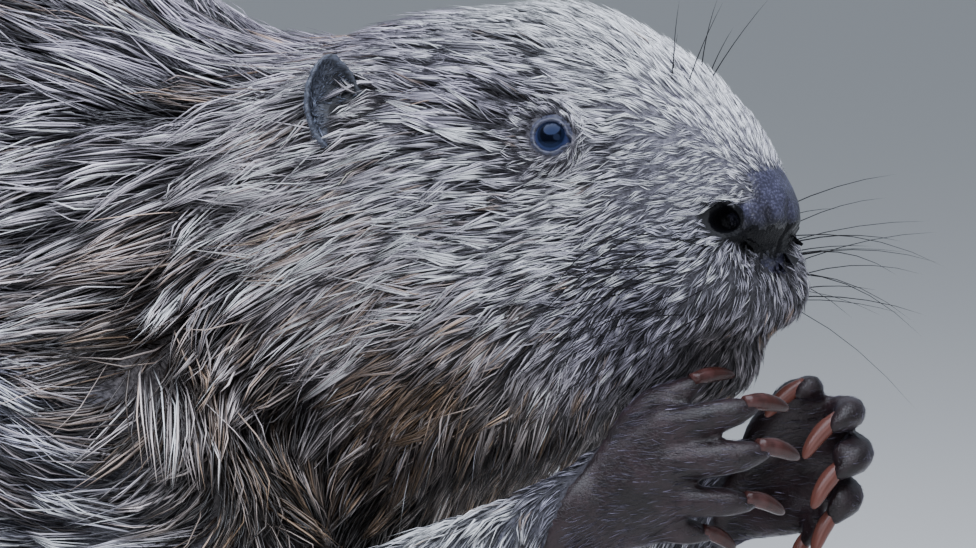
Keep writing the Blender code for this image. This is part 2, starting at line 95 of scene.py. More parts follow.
# Where the coat changes: place in mm, lie of the hair, depth of the coat in mm, length of a lock in mm,
# colour at the root, colour at the tip, share of rusty locks. The other side of the body is its mirror.
# Painted light and shade in the colours: the darkest roots are partly painted shade in the gaps between the locks,
# and the near-white bluish tips on the bridge, the forehead, the shoulder and the arm are partly painted sky
# highlight on wet hair.
coatMap = {
    "noseTop": ((-14, 8, 282), (-1, 0, 0.1), 1.0, 6, "#44424c", "#e0dee8", 0.00),
    "noseSide": ((-16, 23, 271), (-0.8, 0, -0.5), 0.8, 5, "#3a3842", "#d6d4de", 0.00),
    "nostrilBack": ((-22, 27, 257), (-1, 0, -0.25), 1.0, 5, "#2e2c33", "#bbb9c4", 0.00),
    "bridge": ((-26, 0, 296), (-1, 0, 0.4), 2.6, 10, "#8c8895", "#ffffff", 0.00),
    "forehead": ((-70, 0, 325), (-1, 0, 0), 4, 19, "#6a6670", "#ffffff", 0.00),
    "crown": ((-120, 0, 320), (-1, 0, 0), 6, 28, "#25212a", "#968f9c", 0.07),
    "nape": ((-170, 0, 312), (-1, 0, 0), 10, 40, "#151218", "#928b96", 0.08),
    "napeSide": ((-185, 50, 303), (-1, 0, -0.2), 11, 42, "#18151a", "#a6a0ab", 0.08),
    "behindEar": ((-158, 68, 285), (-0.85, 0, -0.5), 9, 40, "#211d1e", "#c8c0c6", 0.12),
    "muzzleSide": ((-32, 30, 246), (-1, 0, -0.25), 2.6, 8, "#2a272d", "#c4c1cf", 0.00),
    "lipFront": ((-7, 13, 240), (-0.25, 0.35, -1), 2.2, 6, "#222023", "#928f99", 0.00),
    "lipSide": ((-32, 30, 232), (-0.7, 0, -0.7), 3, 9, "#1a181c", "#7f7b88", 0.00),
    "lipEdge": ((-12, 18, 224), (-0.35, 0.2, -1), 2.4, 8, "#1a1718", "#56504f", 0.04),
    "chin": ((-35, 0, 200), (-0.8, 0, -0.5), 4, 9, "#1e1a1a", "#6c6664", 0.05),
    "underEye": ((-60, 45, 260), (-1, 0, -0.3), 3.5, 16, "#3f3b42", "#f2edf6", 0.02),
    "temple": ((-80, 45, 295), (-1, 0, 0.05), 4, 20, "#1d1a1f", "#98939e", 0.02),
    "behindEye": ((-84, 49, 265), (-1, 0, -0.1), 4.5, 20, "#332f37", "#e2dde6", 0.04),
    "cheek": ((-100, 60, 240), (-1, 0, -0.4), 8, 31, "#252021", "#c3bbbe", 0.30),
    "cheekLow": ((-90, 50, 203), (-0.8, 0, -0.6), 8, 32, "#171210", "#756b66", 0.42),
    "jaw": ((-80, 20, 178), (-0.7, 0, -0.7), 7, 24, "#1d1816", "#7f756d", 0.20),
    "jawSide": ((-70, 42, 196), (-0.5, 0, -0.85), 6, 26, "#221d1b", "#958c87", 0.20),
    "underEar": ((-138, 66, 262), (-0.95, 0, -0.5), 9, 36, "#302a2c", "#dad2d6", 0.20),
    "neckSide": ((-172, 84, 256), (-0.75, 0, -0.70), 11, 42, "#1f1b1e", "#d8d0d6", 0.30),
    "neckLow": ((-168, 82, 222), (-0.65, 0, -0.8), 11, 40, "#1e1818", "#bdb2ae", 0.45),
    # the crease, where the neck ruff overhangs the shoulder, is darkened as painted shadow
    "crease": ((-140, 78, 180), (-0.45, 0, -0.9), 9, 34, "#17120f", "#63584f", 0.42),
    "shoulder": ((-225, 108, 245), (-1, 0, -0.3), 13, 42, "#232024", "#eae3ec", 0.16),
    "shoulderLow": ((-205, 122, 190), (-1, 0, 0.4), 12, 36, "#2b2a32", "#e2e2f6", 0.06),
    "armLow": ((-160, 110, 140), (-0.9, 0, 0.1), 9, 28, "#302e36", "#f0eefa", 0.04),
    "back": ((-360, 0, 360), (-1, 0, -0.1), 14, 50, "#1e1918", "#85786e", 0.12),
    "rump": ((-520, 0, 250), (-0.7, 0, -0.7), 14, 50, "#1f1a18", "#82756a", 0.14),
    "flank": ((-350, 140, 200), (-1, 0, -0.4), 14, 48, "#221d1b", "#93867c", 0.13),
    "haunch": ((-420, 150, 120), (-0.8, 0, -0.6), 12, 44, "#211c1a", "#8c7f74", 0.13),
    "knee": ((-290, 150, 70), (-0.5, 0, -0.8), 9, 34, "#211c1a", "#8a7e74", 0.08),
    "belly": ((-220, 0, 100), (-0.2, 0, -1), 8, 34, "#231e1b", "#82766b", 0.12),
    # the throat's dark colours are partly painted shade under the head
    "throat": ((-140, 0, 170), (-0.7, 0, -0.7), 9, 30, "#110e0c", "#50483f", 0.16),
    "elbow": ((-128, 78, 122), (-0.3, 0, -1), 6, 24, "#221f22", "#9c96a0", 0.04),
    "forearm": ((-72, 58, 160), (-0.25, 0, -1), 4, 19, "#3b3b4a", "#fbfcff", 0.00),
    "wrist": ((-50, 45, 175), (-0.5, 0, -0.8), 1.2, 7, "#1e1c21", "#7c7a8a", 0.00),
    "tailRoot": ((-590, 0, 90), (-1, 0, -0.3), 7, 30, "#211c1a", "#7d736c", 0.12),
}
rustHex = "#82674a"
folding = 12 * mm  # how widely neighbouring places blend
placeGuides = np.array([(*g[0],) for g in coatMap.values()], float) * mm + (noseX, 0, 0)
lieGuides = unit(np.array([g[1] for g in coatMap.values()], float))
sizeGuides = np.array([g[2:4] for g in coatMap.values()], float) * mm
toneGuides = np.array([(*hexColour(g[4]), *hexColour(g[5]), g[6]) for g in coatMap.values()])


def coatAt(points):
    # lie, depth, lock length, root colour, tip colour and rustiness of the coat at each point
    folded = np.abs(points * (0, 1, 0)) + points * (1, 0, 1)
    gap = ((folded[:, None, :] - placeGuides[None]) ** 2).sum(axis=2)
    weight = 1 / (gap + folding**2) ** 2.2
    weight /= weight.sum(axis=1, keepdims=True)
    lie = weight @ lieGuides
    lie[:, 1] *= np.sign(points[:, 1])
    sizes = weight @ sizeGuides
    tones = weight @ toneGuides
    return lie, sizes[:, 0], sizes[:, 1], tones[:, :3], tones[:, 3:6], tones[:, 6]


def read(data, name, wide=1, kind=np.float32):
    # one property of every vertex, edge or corner, as a table
    found = np.empty(len(data) * wide, kind)
    data.foreach_get(name, found)
    return found.reshape(-1, wide) if wide > 1 else found


def pointsOf(mesh):
    return read(mesh.vertices, "co", 3).astype(float)


def normalsOf(mesh):
    return read(mesh.vertex_normals, "vector", 3).astype(float)


def setPoints(mesh, points):
    mesh.vertices.foreach_set("co", points.astype(np.float32).ravel())
    mesh.update()


def addLayer(mesh, name, values, kind="FLOAT"):
    # a number or a colour at each point, for the materials to read
    layer = mesh.attributes.new(name, kind, "POINT").data
    layer.foreach_set("value" if kind == "FLOAT" else "color", np.asarray(values, np.float32).ravel())


def neighbourMean(edges, values):
    # the mean of each vertex's neighbours, for a table of values
    size = len(values)
    counts = np.maximum(np.bincount(edges.ravel(), minlength=size), 1)
    a, b = edges.T
    columns = [np.bincount(a, column[b], size) + np.bincount(b, column[a], size) for column in values.T]
    return np.stack(columns, axis=1) / counts[:, None]


def addObject(name, data):
    made = bpy.data.objects.new(name, data)
    bpy.context.scene.collection.objects.link(made)
    return made


def objectFrom(name, bm):
    mesh = bpy.data.meshes.new(name)
    bm.to_mesh(mesh)
    bm.free()
    return addObject(name, mesh)


def joinTo(both, bm):
    # adds one bmesh to another
    part = bpy.data.meshes.new("part")
    bm.to_mesh(part)
    bm.free()
    both.from_mesh(part)
    bpy.data.meshes.remove(part)


def settle(obj):
    # makes the object's modifiers part of its mesh
    mesh = bpy.data.meshes.new_from_object(obj.evaluated_get(bpy.context.evaluated_depsgraph_get()))
    obj.modifiers.clear()
    old = obj.data
    obj.data = mesh
    mesh.name = obj.name
    bpy.data.meshes.remove(old)
    return obj


def finishPiece(piece, nodes, material=None):
    # a finished piece rides on the one body and stands for its CAD nodes
    if material:
        piece.data.materials.append(material)
        piece.data.shade_smooth()
    if nodes:
        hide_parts(*nodes)
    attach(piece, "root")


def nodeFinder(nodes):
    # a search tree over CAD nodes that says which of them is nearest to a point
    points, faces, owners = [], [], []
    for k, name in enumerate(nodes):
        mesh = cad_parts[name].data
        start = len(points)
        points += [v.co.copy() for v in mesh.vertices]
        faces += [[start + i for i in p.vertices] for p in mesh.polygons]
        owners += [k] * len(mesh.polygons)
    return BVHTree.FromPolygons(points, faces), np.array(owners)


def nearestNode(finder, points):
    tree, owners = finder
    return owners[[tree.find_nearest(p)[2] for p in points]]


# The skin: one voxel skin over all the flesh, sunk by the depth of the coat, then sculpted.
skinPlan = {
    "voxel": 1.35 * mm,
    "closeGap": 0.35 * mm,  # how far each node is swollen, to close the cuts between them
    "plug": 0.92,  # share of an eyeball's size: closes the socket, so that the lids grow from a whole surface
    "soften": 5,
    "blur": 10,  # rounds that soften the edges of the bare skin
    "sinkSteps": 8,
    "settle": 2,  # rounds of smoothing after each step
    "floor": 0.2 * mm,  # the lowest that the skin, and the coat, may reach
    "coatFloor": 0.3 * mm,
    "triangles": 76000,
    "earRoot": (12.0, 34.0),  # mm from an ear's middle: how far the skin stays up round it
    "earHold": 0.3,
}


# The nose, in mm from its tip and along its own surface.
nosePlan = {
    "middle": 260.0,  # height of the middle of the pad
    "padHeights": (-7, 2.5, 5.5, 14, 20),  # above the middle, and the pad's half width at each
    "padWidths": (23.0, 20.0, 14.0, 10.5, 7.0),
    "underHeights": (-18, -13, -5),  # the same for the bare skin under the pad
    "underWidths": (3.0, 9.0, 22.0),
    "nostril": (-12.6, 0.2),  # back and up from the tip
    "bareNostril": (1.8, 20, 4.2, 7.2),  # ahead of that and outwards, where bare skin round it starts and ends
    "halfSizes": (7.9, 5.2),  # of the nostril's shallow bowl
    "tilt": -0.5,  # radians that the bowl's long way points down ahead
    "bowl": 1.7,
    "core": (1.9, -0.3),  # middle of the dark hole in the bowl, ahead and up
    "coreHalf": (4.2, 3.9),
    "depth": 7.0,
    "holeDepth": 2.6,  # middle of the painted shade inside the nostril, under the surface
    "holeShade": (6.3, 8.6),  # distances from there over which the painted shade fades
    "rim": 0.8,
    "wingGroove": 0.8,
    "under": 3.2,  # how far the skin under the pad stands back
    "philtrum": (1.2, 1.0),  # depth and half width
    "mouth": (1.8, 1.1),
    "mouthHeight": 222.0,
    "shade": 0.96,  # painted shade under the pad: how dark it is
    "shadeLine": (0.2, 12.5, 1.6),  # a painted highlight across it, where the painted shade is lifted: strength, depth below the middle, half height
}


# Claws: thick blunt claws that curve down from the end of each digit.
clawPlan = {
    "stations": (0.0, 0.12, 0.25, 0.38, 0.5, 0.62, 0.74, 0.84, 0.92, 0.97),
    "corners": 16,
    "buried": 4.2,  # mm of each claw inside the digit
    "bend": {"hand": 0.24, "foot": 0.12},  # share of its length by which the tip drops
    "fat": {"hand": 1.3, "foot": 1.05},
    "most": (3.1, 3.1),  # half width and half height at most, mm
    "root": 0.72,  # its thickness inside the digit
    "taper": 0.32,
    "pale": {"hand_right": 0.12, "hand_left": 0.75, "foot_right": 0.2, "foot_left": 0.2},
    "colours": ((0.30, "#432a29"), (0.44, "#331713"), (0.85, "#160908"), (1.0, "#331713")),  # from root to tip
    "brownHex": "#160908",
    "paleHex": "#6b4239",
    "digitTaper": {"hand": 0.36, "foot": 0.2},  # how much a digit narrows into its claw
    "taperOver": (-4.0, 6.0),  # mm along a claw from its root
    "taperReach": (24, 8.5),  # mm along and across, past which nothing is narrowed
}


def mainAxes(points):
    # the thinnest, middle and longest ways of a solid
    return np.linalg.eigh(np.cov((points - points.mean(axis=0)).T))[1].T


def clawFrame(node, limb):
    # where a CAD claw starts inside its digit, the ways it points and bends, its length and its half sizes
    points = np.array([v.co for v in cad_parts[node].data.vertices])
    middle = points.mean(axis=0)
    along = mainAxes(points)[2]
    limbTree, _ = nodeFinder([limb])
    ends = [middle + along * s * 6 * mm for s in (-1, 1)]
    if limbTree.find_nearest(ends[0])[3] > limbTree.find_nearest(ends[1])[3]:
        along = -along
    reach = (points - middle) @ along
    low, high = reach.min(), reach.max()
    kind, side = node.split("_")[1:3]
    hint = np.array((0.0, 0.0, -1.0)) if kind == "foot" else np.array((0.0, -0.45 * sides[side], -1.0))
    down = unit(hint - along * (hint @ along))
    across = np.cross(along, down)
    halves = [min(np.ptp((points - middle) @ way) / 2 * clawPlan["fat"][kind], most * mm)
              for way, most in zip((across, down), clawPlan["most"])]
    start = middle + along * (low - clawPlan["buried"] * mm)
    return start, along, down, high - low + clawPlan["buried"] * mm, *halves


def earFrame(side):
    # the middle of an ear's solid, and its long way, its broad way and the way it opens
    points = np.array([v.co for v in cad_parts["ear_" + side].data.vertices])
    centre = (points.min(axis=0) + points.max(axis=0)) / 2
    through, _, tall = mainAxes(points)
    through = through * np.sign(through @ np.array((0.8, sides[side] * 0.6, 0.1)))
    tall = tall * np.sign(tall[2])
    return centre, tall, np.cross(through, tall), through


earFrames = {side: earFrame(side) for side in sides}
earPlan = {
    "halfSizes": (9.4, 15.6, 8.0),  # broad, tall and deep, mm
    "point": 0.30,  # how much the top narrows
    "openAt": 0.12,  # share of the depth that the rim stands ahead of the middle
    "wall": 1.5,
    "shift": (-3.8, 0.0, -0.5),  # broad, tall and through, mm
    "hollow": (-8.0, -2.0, -3.0),  # the dark inside, painted shade: its middle from the solid's middle, broad, tall and through, mm
    "hollowHalf": (7, 13, 9),
    "hollowShade": 0.93,
}


def makeEarCup(side):
    # an open half shell, with its wall turned inwards
    centre, tall, broad, through = earFrames[side]
    bm = bmesh.new()
    bmesh.ops.create_uvsphere(bm, u_segments=36, v_segments=24, radius=1)
    bmesh.ops.bisect_plane(bm, geom=[*bm.verts, *bm.edges, *bm.faces], plane_co=(0, 0, earPlan["openAt"]),
                           plane_no=(0, 0, 1), clear_outer=True)
    for vert in bm.verts:
        vert.co.x *= 1 - earPlan["point"] * max(vert.co.y, 0) ** 2
    bmesh.ops.scale(bm, vec=[h * mm for h in earPlan["halfSizes"]], verts=bm.verts)
    bmesh.ops.recalc_face_normals(bm, faces=bm.faces)
    bmesh.ops.solidify(bm, geom=bm.faces[:], thickness=earPlan["wall"] * mm)
    shift = np.array(earPlan["shift"]) * mm
    turn = Matrix([broad, tall, through]).transposed().to_4x4()
    seat = Vector(centre + broad * shift[0] + tall * shift[1] + through * shift[2])
    bmesh.ops.transform(bm, matrix=Matrix.Translation(seat) @ turn, verts=bm.verts)
    bmesh.ops.recalc_face_normals(bm, faces=bm.faces)
    return bm


def eyeBall(side):
    low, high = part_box("eye_" + side)
    return (np.array(low) + np.array(high)) / 2, (high.z - low.z) / 2


def leatherAt(points):
    # how far each place is bare nose leather: the pad, the nostrils and the wet skin under them
    x, y, z = inMm(points).T
    y = np.abs(y)
    z = z - nosePlan["middle"]
    back, rise = nosePlan["nostril"]
    edge = np.interp(z, nosePlan["padHeights"], nosePlan["padWidths"])
    pad = (1 - smoothStep(-3.5, 3, y - edge)) * smoothStep(-9, -6, z) * (1 - smoothStep(10, 20, z))
    ahead, outwards, full, end = nosePlan["bareNostril"]
    nostril = 1 - smoothStep(full, end, np.sqrt((x - back - ahead) ** 2 + (y - outwards) ** 2 + (z - rise) ** 2))
    edge = np.interp(z, nosePlan["underHeights"], nosePlan["underWidths"])
    under = (1 - smoothStep(-1, 2, y - edge)) * smoothStep(-19, -16, z)
    under *= 1 - smoothStep(-3, 1, z)
    return np.max([pad, nostril, under], axis=0) * smoothStep(-24, -19, x)


def makeSkinShape():
    bm = bmesh.new()
    for name in fleshNodes:
        if not name.startswith("ear"):
            bm.from_mesh(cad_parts[name].data)
    bmesh.ops.remove_doubles(bm, verts=bm.verts, dist=0.01 * mm)
    bm.normal_update()
    for vert in bm.verts:
        vert.co += vert.normal * skinPlan["closeGap"]
    for side in sides:
        joinTo(bm, makeEarCup(side))
        centre, radius = eyeBall(side)
        bmesh.ops.create_uvsphere(bm, u_segments=32, v_segments=20, radius=radius * skinPlan["plug"],
                                  matrix=Matrix.Translation(centre))
    body = objectFrom("skin", bm)
    melt = body.modifiers.new("melt", "REMESH")
    melt.mode = "VOXEL"
    melt.voxel_size = skinPlan["voxel"]
    soften = body.modifiers.new("soften", "SMOOTH")
    soften.factor = 0.5
    soften.iterations = skinPlan["soften"]
    return settle(body)


def sinkSkin(skin):
    # lowers the skin under the coat, in small steps with a little smoothing after each
    mesh = skin.data
    points, edges = pointsOf(mesh), read(mesh.edges, "vertices", 2, np.int32)
    owner = nearestNode(nodeFinder(fleshNodes), points)
    bare = np.isin(owner, [fleshNodes.index(n) for n in bareNodes + ["ear_left", "ear_right"] if n != "nose"])
    bare = np.maximum(bare, leatherAt(points))[:, None]
    for _ in range(skinPlan["blur"]):
        bare = 0.5 * bare + 0.5 * neighbourMean(edges, bare)
    depth = coatAt(points)[1][:, None] * (1 - smoothStep(0.2, 0.8, bare)) ** 0.7
    for side in sides:
        away = np.linalg.norm(points - earFrames[side][0], axis=1)[:, None] / mm
        depth *= skinPlan["earHold"] + (1 - skinPlan["earHold"]) * smoothStep(*skinPlan["earRoot"], away)
    mobile = smoothStep(0.5 * mm, 3 * mm, depth)
    for _ in range(skinPlan["sinkSteps"]):
        points = points - normalsOf(mesh) * depth / skinPlan["sinkSteps"]
        for _ in range(skinPlan["settle"]):
            points += 0.5 * mobile * (neighbourMean(edges, points) - points)
        points[:, 2] = np.maximum(points[:, 2], skinPlan["floor"])
        setPoints(mesh, points)
    thin = skin.modifiers.new("thin", "DECIMATE")
    thin.ratio = skinPlan["triangles"] / (2 * len(mesh.polygons))
    return settle(skin)


def taperDigits(skin):
    # narrows the end of each digit towards its claw
    points = pointsOf(skin.data)
    begin, full = clawPlan["taperOver"]
    farAlong, farAcross = clawPlan["taperReach"]
    for side in sides:
        for limb in ("hand", "foot"):
            for digit in digits:
                start, along, *_ = clawFrame(f"claw_{limb}_{side}_{digit}", f"{limb}_{side}")
                offset = (points - start) / mm
                reach = offset @ along
                radial = offset - reach[:, None] * along
                near = (reach > begin) & (reach < farAlong) & (np.linalg.norm(radial, axis=1) < farAcross)
                narrow = clawPlan["digitTaper"][limb] * smoothStep(begin, full, reach)
                points[near] -= (radial * narrow[:, None] * mm)[near]
    setPoints(skin.data, points)


report("fusing the flesh into one skin")
skin = makeSkinShape()
report(f"skin of {len(skin.data.vertices)} points")
skin = sinkSkin(skin)
report(f"skin sunk under the coat, {len(skin.data.polygons)} faces")


def refineNear(skin, centre, reach, longest):
    # splits the skin's longer edges within reach mm of a point, for finer modelling there
    bm = bmesh.new()
    bm.from_mesh(skin.data)
    for _ in range(5):
        near = [e for e in bm.edges if e.calc_length() > longest * mm
                and all((v.co - centre).length < reach * mm for v in e.verts)]
        if not near:
            break
        bmesh.ops.subdivide_edges(bm, edges=near, cuts=1)
        bmesh.ops.triangulate(bm, faces=[f for f in bm.faces if len(f.verts) > 3])
    bm.to_mesh(skin.data)
    bm.free()


def localOffsets(skin, centre, axis):
    # the skin's points, the three ways at a feature (ahead on the surface, up on it, out of it) and how far each
    # point lies from it along them, in mm
    out = unit(np.array(axis, float))
    ahead = np.array((1, 0, 0), float)
    ahead = unit(ahead - out * (ahead @ out))
    up = np.cross(out, ahead)
    up *= np.sign(up[2])
    points = pointsOf(skin.data)
    offset = (points - np.array(centre)) / mm
    return points, (ahead, up, out), (offset @ ahead, offset @ up, offset @ out)


# The eyelids: heights above the middle of the ball at distances from its axis, in mm.
lidPlan = {
    "reach": 13.0,
    "distances": (0.0, 3.8, 4.3, 4.65, 4.95, 5.3, 5.7, 6.1, 6.7, 7.6, 9.0),
    "heights": (2.8, 3.2, 4.4, 5.3, 5.75, 5.9, 5.7, 5.25, 4.9, 4.65, 4.3),
    "long": 1.02,
    "high": 0.99,
    "cornerLength": 2.2,
    "cornerWidth": 0.26,
    "cornerDrop": -0.15,  # radians that the front corner points down
    "blend": 7.2,  # where the lids start to run out into the cheek
    "across": 25.0,  # how far from the ball, across the head, its axis counts
    "bareTo": 6.6,
}


def eyeAxis(skin, side):
    # the mean way the skin faces round the eye
    centre, _ = eyeBall(side)
    points, normals = pointsOf(skin.data), normalsOf(skin.data)
    near = np.linalg.norm(points - centre, axis=1) < lidPlan["reach"] * mm
    return unit(normals[near].mean(axis=0))


def sculptLids(skin, side):
    centre, _ = eyeBall(side)
    refineNear(skin, Vector(centre), 15, 1.4)
    refineNear(skin, Vector(centre), 10.5, 0.65)
    points, (_, _, out), (a, u, h) = localOffsets(skin, centre, eyeAxis(skin, side))
    r = np.hypot(a / lidPlan["long"], u / lidPlan["high"])
    angle = np.arctan2(u, a) - lidPlan["cornerDrop"]
    corner = lidPlan["cornerLength"] * bell(angle, lidPlan["cornerWidth"])
    shaped = np.interp(r - corner * smoothStep(3.4, 6.0, r), lidPlan["distances"], lidPlan["heights"])
    keep = smoothStep(lidPlan["blend"], lidPlan["reach"], r)
    near = (np.linalg.norm((points - centre) / mm, axis=1) < lidPlan["reach"] * 1.3) & (h > 0)
    height = shaped * (1 - keep) + h * keep
    points[near] += (((height - h)[:, None] * out) * mm)[near]
    setPoints(skin.data, points)


def sculptUnderNose(skin):
    # The skin under the pad stands back, with a groove down its middle to the lip, and the mouth is closed.
    middle = nosePlan["middle"]
    refineNear(skin, Vector((noseX - 8 * mm, 0, (middle - 5) * mm)), 32, 1.5)
    points, normals = pointsOf(skin.data), normalsOf(skin.data)
    x, y, z = inMm(points).T
    under = nosePlan["under"] * smoothStep(middle - 2, middle - 9, z)
    under *= 1 - smoothStep(middle - 13, middle - 20, z)
    under *= (1 - smoothStep(14, 22, np.abs(y))) * smoothStep(-26, -14, x)
    depth, wide = nosePlan["philtrum"]
    lip = nosePlan["mouthHeight"]
    groove = depth * bell(y, wide) * smoothStep(-26, -16, x) * smoothStep(lip - 1, lip + 4, z)
    groove *= 1 - smoothStep(middle + 1, middle + 6, z)
    depth, wide = nosePlan["mouth"]
    mouth = depth * bell(z - lip, wide) * smoothStep(-58, -50, x) * (np.abs(y) < 45)
    points -= normals * ((under + groove + mouth)[:, None] * mm)
    setPoints(skin.data, points)


def sculptNostrils(skin):
    # two shallow bowls, each with a dark hole in it; returns the middles of the holes
    tree = BVHTree.FromObject(skin, bpy.context.evaluated_depsgraph_get())
    back, rise = nosePlan["nostril"]
    halfLong, halfHigh = nosePlan["halfSizes"]
    coreLong, coreHigh = nosePlan["coreHalf"]
    coreAhead, coreUp = nosePlan["core"]
    lean = nosePlan["tilt"]
    holes = []
    for sign in sides.values():
        start = Vector((noseX + back * mm, 0.1 * sign, (nosePlan["middle"] + rise) * mm))
        seat, normal, _, _ = tree.ray_cast(start, Vector((0, -sign, 0)))
        refineNear(skin, seat, 10, 0.7)
        points, (ahead, up, outward), (a, u, h) = localOffsets(skin, seat, normal)
        r = np.hypot((a * math.cos(lean) + u * math.sin(lean)) / halfLong,
                     (u * math.cos(lean) - a * math.sin(lean)) / halfHigh)
        angle = np.arctan2(u, a)
        core = np.hypot((a - coreAhead) / coreLong, (u - coreUp) / coreHigh)
        # The wing of the nostril: a rounded rim over the top and down the front, set off by a groove. Behind and
        # below it the bowl runs out softly into the hair.
        wing = smoothStep(-1.4, -0.6, angle) * (1 - smoothStep(1.9, 2.6, angle))
        bowl = nosePlan["bowl"] * (1 - smoothStep(0.6 - 0.35 * (1 - wing), 1.02 + 0.1 * (1 - wing), r))
        pit = bowl + nosePlan["depth"] * (1 - smoothStep(0.5, 1.1, core))
        rim = nosePlan["rim"] * bell(r - 1.14, 0.2) * wing
        crease = nosePlan["wingGroove"] * bell(r - 1.5, 0.16) * wing * (1 - smoothStep(0.6, 1.3, angle))
        near = (np.abs(h) < 7) & (np.hypot(a, u) < 13)
        points[near] += ((rim - pit - crease)[:, None] * outward)[near] * mm
        setPoints(skin.data, points)
        inside = ahead * coreAhead * 0.4 + up * coreUp - outward * nosePlan["holeDepth"]
        holes.append(np.array(seat) + inside * mm)
    return holes


def shadeHollows(skin):
    # painted shade: how deep in a nostril, under the nose pad or in an ear each place is; the skin's materials are
    # painted near black there
    points = pointsOf(skin.data)
    x, _, z = inMm(points).T
    z = z - nosePlan["middle"]
    strength, below, half = nosePlan["shadeLine"]
    deep = nosePlan["shade"] * smoothStep(3.5, -5, z) * (1 - smoothStep(-12, -18, z))
    deep *= (x > -24) * (1 - strength * bell(z + below, half))
    for hole in nostrils:
        away = np.linalg.norm(points - hole, axis=1) / mm
        deep = np.maximum(deep, 1 - smoothStep(*nosePlan["holeShade"], away))
    for centre, tall, broad, through in earFrames.values():
        ways = (broad, tall, through)
        middle = centre + sum(way * far for way, far in zip(ways, earPlan["hollow"])) * mm
        offset = (points - middle) / mm
        away = np.sqrt(sum((offset @ way / half) ** 2 for way, half in zip(ways, earPlan["hollowHalf"])))
        deep = np.maximum(deep, earPlan["hollowShade"] * (1 - smoothStep(0.6, 1.25, away)))
    addLayer(skin.data, "hollow", deep)


taperDigits(skin)
for side in sides:
    sculptLids(skin, side)
sculptUnderNose(skin)
nostrils = sculptNostrils(skin)
shadeHollows(skin)
skin.modifiers.new("triangles", "TRIANGULATE")
skin = settle(skin)
skin.data.shade_smooth()
report(f"eyelids and nostrils, {len(skin.data.polygons)} faces")


def wire(node, inputs):
    # sets a node's inputs: a value, one of a node's outputs, or a node to link by its first output
    for name, value in inputs.items():
        if isinstance(value, bpy.types.Node):
            value = value.outputs[0]
        if isinstance(value, bpy.types.NodeSocket):
            node.id_data.links.new(value, node.inputs[name])
        else:
            node.inputs[name].default_value = value
    return node


def addNode(tree, kind, inputs=None, **settings):
    # one shader node: settings are its own properties
    node = tree.nodes.new("ShaderNode" + kind)
    for name, value in settings.items():
        setattr(node, name, value)
    return wire(node, inputs or {})


def newMaterial(name):
    material = bpy.data.materials.new(name)
    material.use_nodes = True
    return material, material.node_tree, material.node_tree.nodes["Principled BSDF"]


def rgba(text):
    return (*hexColour(text), 1.0)


def blend(tree, pattern, low, high, colour, other, most=1.0):
    # turns one colour into another as a pattern rises from low to high
    share = addNode(tree, "MapRange", {"Value": pattern, "From Min": low, "From Max": high, "To Max": most})
    return addNode(tree, "MixRGB", {"Fac": share, "Color1": colour, "Color2": other})


def shade(tree, colour, pattern, low, high, least, most):
    # makes a colour darker or lighter, from least to most, as a pattern rises from low to high
    share = addNode(tree, "MapRange", {"Value": pattern, "From Min": low, "From Max": high,
                                       "To Min": least, "To Max": most})
    return addNode(tree, "VectorMath", {0: colour, "Scale": share}, operation="SCALE")


def paintHollowShade(tree, colour):
    # painted shade: the same colour, nearly black deep in a nostril, under the nose pad or in an ear
    hollow = addNode(tree, "Attribute", attribute_name="hollow").outputs["Fac"]
    return addNode(tree, "MixRGB", {"Fac": hollow, "Color1": colour, "Color2": rgba("#07070a")})


# Felted underfur, the short dense wool under the guard hairs: dull and dark, darkened further as painted shade, so
# that the gaps between the locks read as depth.
def makeUnderfur():
    material, tree, shader = newMaterial("feltedUnderfur")
    place = addNode(tree, "TexCoord").outputs["Object"]
    root = addNode(tree, "Attribute", attribute_name="rootTone")
    tip = addNode(tree, "Attribute", attribute_name="tipTone")
    wool = addNode(tree, "TexNoise", {"Vector": place, "Scale": 900.0, "Detail": 3.0})
    colour = blend(tree, wool, 0.35, 0.7, root, tip, 0.16)
    bump = addNode(tree, "Bump", {"Height": wool, "Strength": 0.7, "Distance": 0.4 * mm})
    wire(shader, {"Base Color": paintHollowShade(tree, colour), "Normal": bump, "Roughness": 0.8})
    return material


# Nose leather: bare wet skin in tiny round pebbles under 1 mm across, so it glints in points; slate grey. Nearly
# black and duller in the nostrils and under the pad, which is painted shade.
def makeNoseLeather(name, darkHex, paleHex, roughness, specular):
    material, tree, shader = newMaterial(name)
    place = addNode(tree, "TexCoord").outputs["Object"]
    pebbles = addNode(tree, "TexVoronoi", {"Vector": place, "Scale": 1 / (0.85 * mm)})
    mottle = addNode(tree, "TexNoise", {"Vector": place, "Scale": 1 / (7 * mm), "Detail": 4.0})
    base = blend(tree, mottle, 0.35, 0.65, rgba(darkHex), rgba(paleHex))
    crown = addNode(tree, "MapRange", {"Value": pebbles, "From Min": 0.1, "From Max": 0.65,
                                       "To Min": 1.15, "To Max": 0.45})
    colour = addNode(tree, "VectorMath", {0: base, "Scale": crown}, operation="SCALE")
    bump = addNode(tree, "Bump", {"Height": crown, "Strength": 0.8, "Distance": 0.28 * mm})
    wire(shader, {"Base Color": paintHollowShade(tree, colour), "Normal": bump, "Roughness": roughness,
                  "Specular IOR Level": specular})
    return material


